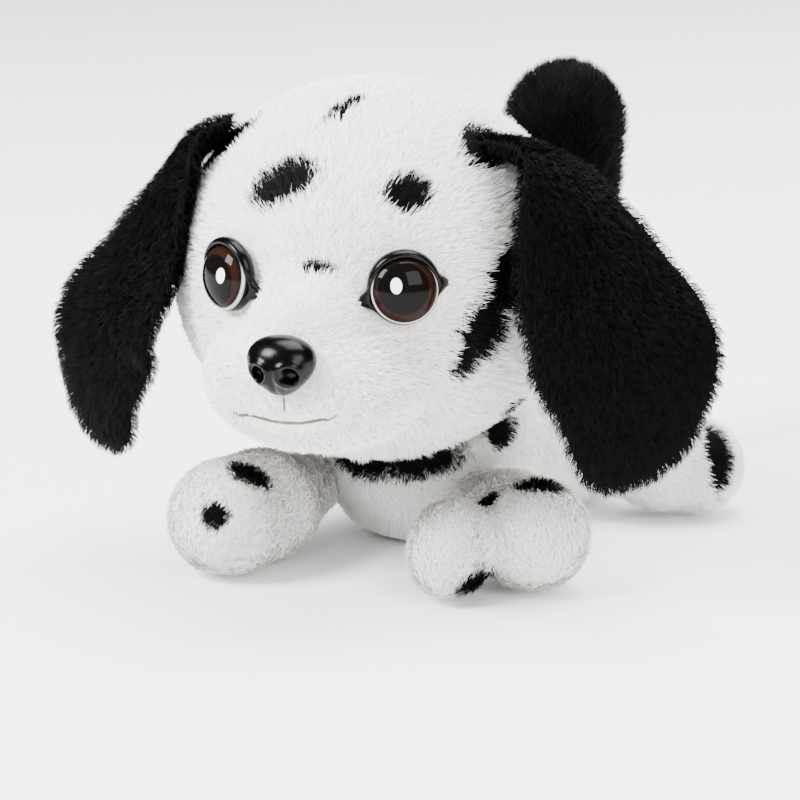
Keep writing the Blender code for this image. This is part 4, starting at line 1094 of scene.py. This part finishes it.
class PUPPY_OT_eyes(bpy.types.Operator):
    """Make the domed eyes and their moulded lids"""

    bl_idname = "puppy.eyes"
    bl_label = "Eyes"

    def execute(self, context):
        for side, label in ((1, "left"), (-1, "right")):
            place = eye_frame(side)
            bm = bmesh.new()
            run = [(0.0, DOME_FOOT + DOME_RISE)]
            for k in range(1, 15):
                angle = math.radians(90.0 - 90.0 * k / 14.0)
                run.append((EYE_RADIUS * math.cos(angle), DOME_FOOT + DOME_RISE * math.sin(angle)))
            run += [(EYE_RADIUS, -EYE_SUNK), (SHANK_RADIUS, -EYE_SUNK), (SHANK_RADIUS, SHANK_END), (0.0, SHANK_END)]
            profile = [bm.verts.new((x, 0.0, z)) for x, z in run]
            spin_round(bm, profile, [bm.edges.new(pair) for pair in zip(profile, profile[1:])], 64)
            layer = bm.loops.layers.uv.new("across")
            for face in bm.faces:
                for loop in face.loops:
                    loop[layer].uv = (0.5 + loop.vert.co.x / PRINT, 0.5 + loop.vert.co.y / PRINT)
            bmesh.ops.transform(bm, matrix=place, verts=bm.verts)
            mesh = bmesh_to_head(bm, f"eye_{label}_dome")
            link_piece(f"eye_{label}_dome", mesh, "head", [eye_finish(context.scene.puppy_face, side)],
                       (f"eye_{label}",))

            bm = bmesh.new()
            profile = []
            for k in range(LID_SIDES):
                angle = 2.0 * math.pi * k / LID_SIDES
                x, z = LID_RADIUS + LID_HALF_WIDTH * math.cos(angle), LID_HALF_HEIGHT * math.sin(angle)
                profile.append(bm.verts.new((x, 0.0, z)))
            edges = [bm.edges.new((profile[k], profile[(k + 1) % LID_SIDES])) for k in range(LID_SIDES)]
            spin_round(bm, profile, edges, 120)
            for vert in bm.verts:  # the ring is wider and higher above, and drawn out to both corners of the eye
                radius = math.hypot(vert.co.x, vert.co.y)
                angle = math.atan2(vert.co.y, side * vert.co.x)
                top = max(0.0, math.sin(angle)) ** 0.7
                corner = fold(angle, 6.0, 11.0) + fold(angle, 196.0, 12.0)
                outer = 13.5 + 2.1 * top + 4.4 * corner
                inner = 12.7 - 0.5 * top
                t = (radius - (LID_RADIUS - LID_HALF_WIDTH)) / (2.0 * LID_HALF_WIDTH)
                reach = inner + (outer - inner) * t
                height = 0.9 + 2.6 * top - 0.4 * corner
                rise = vert.co.z * (1.0 + 0.7 * top) + height - 2.6 * max(0.0, t) * (0.6 + corner)
                vert.co = (reach * math.cos(angle) * side, reach * math.sin(angle), rise)
            bmesh.ops.transform(bm, matrix=place, verts=bm.verts)
            mesh = bmesh_to_head(bm, f"eye_{label}_lid")
            link_piece(f"eye_{label}_lid", mesh, "head", [FINISH["works_black_plastic"]],
                       (f"eye_rim_{label}",))
        return {"FINISHED"}


class PUPPY_OT_nose(bpy.types.Operator):
    """Make the moulded nose, the stitch below it and the stitched mouth, whose wide thread is also painted shade in
    its crease
    """

    bl_idname = "puppy.nose"
    bl_label = "Nose and mouth"

    def execute(self, context):
        bm = bmesh.new()
        bmesh.ops.create_uvsphere(bm, u_segments=72, v_segments=48, radius=1.0)
        for vert in bm.verts:
            x, y, z = vert.co
            wide = 1.0 + 0.2 * z - 0.08 * z * z
            co = Vector((x * NOSE_RADII[0] * wide, y * NOSE_RADII[1], z * NOSE_RADII[2] * (0.96 - 0.05 * z)))
            if y < 0.2:  # the front: nostrils with raised rims, and a groove between them
                for side in (1, -1):
                    gap = math.hypot(co.x - side * NOSTRIL_AT[0], co.z - NOSTRIL_AT[1])
                    rim = 1.3 * math.exp(-(((gap - 4.2) / 1.2) ** 2))
                    co.y += NOSTRIL_DEPTH * math.exp(-((gap / NOSTRIL_RADIUS) ** 4)) - rim
                groove = math.exp(-((co.x / 1.0) ** 2)) * max(0.0, min(1.0, (-co.z - 1.0) / 5.0))
                co.y += 0.8 * groove
            vert.co = co + Vector(NOSE_AT)
        mesh = bmesh_to_head(bm, "nose_pad")
        link_piece("nose_pad", mesh, "nose", [FINISH["works_black_plastic"]], ("nose_button",))

        # the mouth's thread is drawn wider than the lip's: partly the stitch, partly painted shade along the
        # mouth's crease
        for name, line, radius in (("mouth_stitch_and_painted_crease_shade", MOUTH, 0.8), ("lip_stitch", LIP, 0.45)):
            run = settle(np.array(smooth_run(line, 6)), lambda p: head_field(p) - THREAD_PROUD, 5)
            curve = bpy.data.curves.new(name, "CURVE")
            curve.dimensions = "3D"
            curve.bevel_depth = radius * MM
            curve.bevel_resolution = 2
            curve.use_fill_caps = True
            spline = curve.splines.new("POLY")
            spline.points.add(len(run) - 1)
            for k, (point, at) in enumerate(zip(spline.points, to_head(run) * MM)):
                point.co = (*at, 1.0)
                # each thread thins towards both ends; on the mouth this is where the painted crease shade fades
                point.radius = 0.25 + 0.75 * math.sin(math.pi * (k + 0.5) / len(run)) ** 0.6
            obj = bpy.data.objects.new(name, curve)
            bpy.context.scene.collection.objects.link(obj)
            bpy.context.view_layer.update()
            mesh = bpy.data.meshes.new_from_object(obj.evaluated_get(bpy.context.evaluated_depsgraph_get()))
            bpy.data.objects.remove(obj)
            mesh.shade_smooth()
            link_piece(name, mesh, "head", [FINISH["thread"]])
        return {"FINISHED"}


SOFTBOXES = (
    # name, place, size in metres, power in watts
    ("key_softbox", (-1.1, -1.7, 1.7), 1.0, 200.0),
    ("side_softbox", (1.9, -1.0, 1.1), 1.2, 46.0),
    ("top_softbox", (0.2, 0.3, 2.2), 1.6, 120.0),
    ("back_softbox", (0.6, 2.0, 1.2), 1.2, 46.0),
)
DIM_ROOM, BRIGHT_WALLS = 0.08, 2.0  # the room in reflections, and what the camera sees of it besides
AIM_RIGHT, AIM_DOWN = 0.0088, 0.0528  # middle of the picture, in metres from the middle of the head


class PUPPY_OT_stage(bpy.types.Operator):
    """Lay the floor, hang the lights and set the camera"""

    bl_idname = "puppy.stage"
    bl_label = "Stage"

    def execute(self, context):
        stage = context.scene.puppy_stage
        bm = bmesh.new()
        bmesh.ops.create_grid(bm, x_segments=8, y_segments=8, size=6.0)
        mesh = bpy.data.meshes.new("floor")
        bm.to_mesh(mesh)
        bm.free()
        floor = bpy.data.objects.new("floor", mesh)
        context.scene.collection.objects.link(floor)
        # a roll of matt paper, with barely visible clouds 0.3 m across
        paper, tree, shader = new_material("matt_paper", tuple(stage.floor), 0.9, Specular_IOR_Level=0.1)
        place = add_node(tree, "ShaderNodeTexCoord").outputs["Object"]
        grain = add_node(tree, "ShaderNodeTexNoise", {"Vector": place, "Scale": 3.0, "Detail": 2.0}).outputs["Fac"]
        dull = (*scaled(stage.floor, (0.985, 0.985, 0.985)), 1)
        tones = {"Factor": grain, A_COLOUR: dull, B_COLOUR: (*stage.floor, 1)}
        tone = add_node(tree, "ShaderNodeMix", tones, data_type="RGBA")
        tree.links.new(tone.outputs[MIXED], shader.inputs["Base Color"])
        mesh.materials.append(paper)

        aim = Vector((0.0, -0.04, 0.09))
        for name, at, size, power in SOFTBOXES:
            data = bpy.data.lights.new(name, "AREA")
            data.shape = "SQUARE"
            data.size = size
            data.energy = power
            lamp = bpy.data.objects.new(name, data)
            lamp.location = at
            lamp.rotation_euler = (aim - Vector(at)).to_track_quat("-Z", "Y").to_euler()
            context.scene.collection.objects.link(lamp)
        world = bpy.data.worlds.new("studio")
        world.use_nodes = True
        # white walls light the pile, but the glossy nose and eyes see a dim room and the softboxes
        background = world.node_tree.nodes["Background"]
        background.inputs["Color"].default_value = (1.0, 1.0, 1.0, 1.0)
        ray = add_node(world.node_tree, "ShaderNodeLightPath")
        room = {"Value": ray.outputs["Is Glossy Ray"], "To Min": 1.0, "To Max": DIM_ROOM}
        room = add_node(world.node_tree, "ShaderNodeMapRange", room).outputs[0]
        walls = {0: ray.outputs["Is Camera Ray"], 1: BRIGHT_WALLS, 2: room}
        walls = add_node(world.node_tree, "ShaderNodeMath", walls, operation="MULTIPLY_ADD").outputs[0]
        world.node_tree.links.new(walls, background.inputs["Strength"])
        context.scene.world = world

        a, e = stage.azimuth, stage.elevation
        right = Vector((math.cos(a), math.sin(a), 0.0))
        back = Vector((math.sin(a) * math.cos(e), -math.cos(a) * math.cos(e), math.sin(e)))
        up = back.cross(right)
        head = Vector(to_head([HEAD_CENTRE])[0]) * MM
        target = head + right * AIM_RIGHT - up * AIM_DOWN
        data = bpy.data.cameras.new("camera")
        data.sensor_width = 36.0
        data.lens = 135.0
        data.clip_start, data.clip_end = 0.05, 30.0
        camera = bpy.data.objects.new("camera", data)
        camera.location = target + back * stage.distance
        camera.rotation_euler = back.to_track_quat("Z", "Y").to_euler()
        context.scene.collection.objects.link(camera)
        context.scene.camera = camera
        return {"FINISHED"}


OPERATORS = (
    PUPPY_OT_finishes,
    PUPPY_OT_head,
    PUPPY_OT_ears,
    PUPPY_OT_body,
    PUPPY_OT_legs,
    PUPPY_OT_tail,
    PUPPY_OT_eyes,
    PUPPY_OT_nose,
    PUPPY_OT_stage,
)


class PUPPY_PT_panel(bpy.types.Panel):
    """Lists the puppy's operators and settings"""

    bl_idname = "PUPPY_PT_panel"
    bl_label = "Plush puppy"
    bl_space_type = "VIEW_3D"
    bl_region_type = "UI"
    bl_category = "Plush puppy"

    def draw(self, context):
        for operator in OPERATORS:
            self.layout.operator(operator.bl_idname)
        for group in (context.scene.puppy_pile, context.scene.puppy_face, context.scene.puppy_stage):
            box = self.layout.box()
            for name in group.__annotations__:
                box.prop(group, name)


GROUPS = {"puppy_pile": PuppyPile, "puppy_face": PuppyFace, "puppy_stage": PuppyStage}


def register():
    for group in GROUPS.values():
        bpy.utils.register_class(group)
    for name, group in GROUPS.items():
        setattr(bpy.types.Scene, name, PointerProperty(type=group))
    for cls in (*OPERATORS, PUPPY_PT_panel):
        bpy.utils.register_class(cls)


def unregister():
    for cls in reversed((*OPERATORS, PUPPY_PT_panel)):
        bpy.utils.unregister_class(cls)
    for name in GROUPS:
        delattr(bpy.types.Scene, name)
    for group in reversed(list(GROUPS.values())):
        bpy.utils.unregister_class(group)


def main():
    register()
    for name in ("finishes", "head", "ears", "body", "legs", "tail", "eyes", "nose", "stage"):
        getattr(bpy.ops.puppy, name)()


if __name__ == "__main__":
    main()
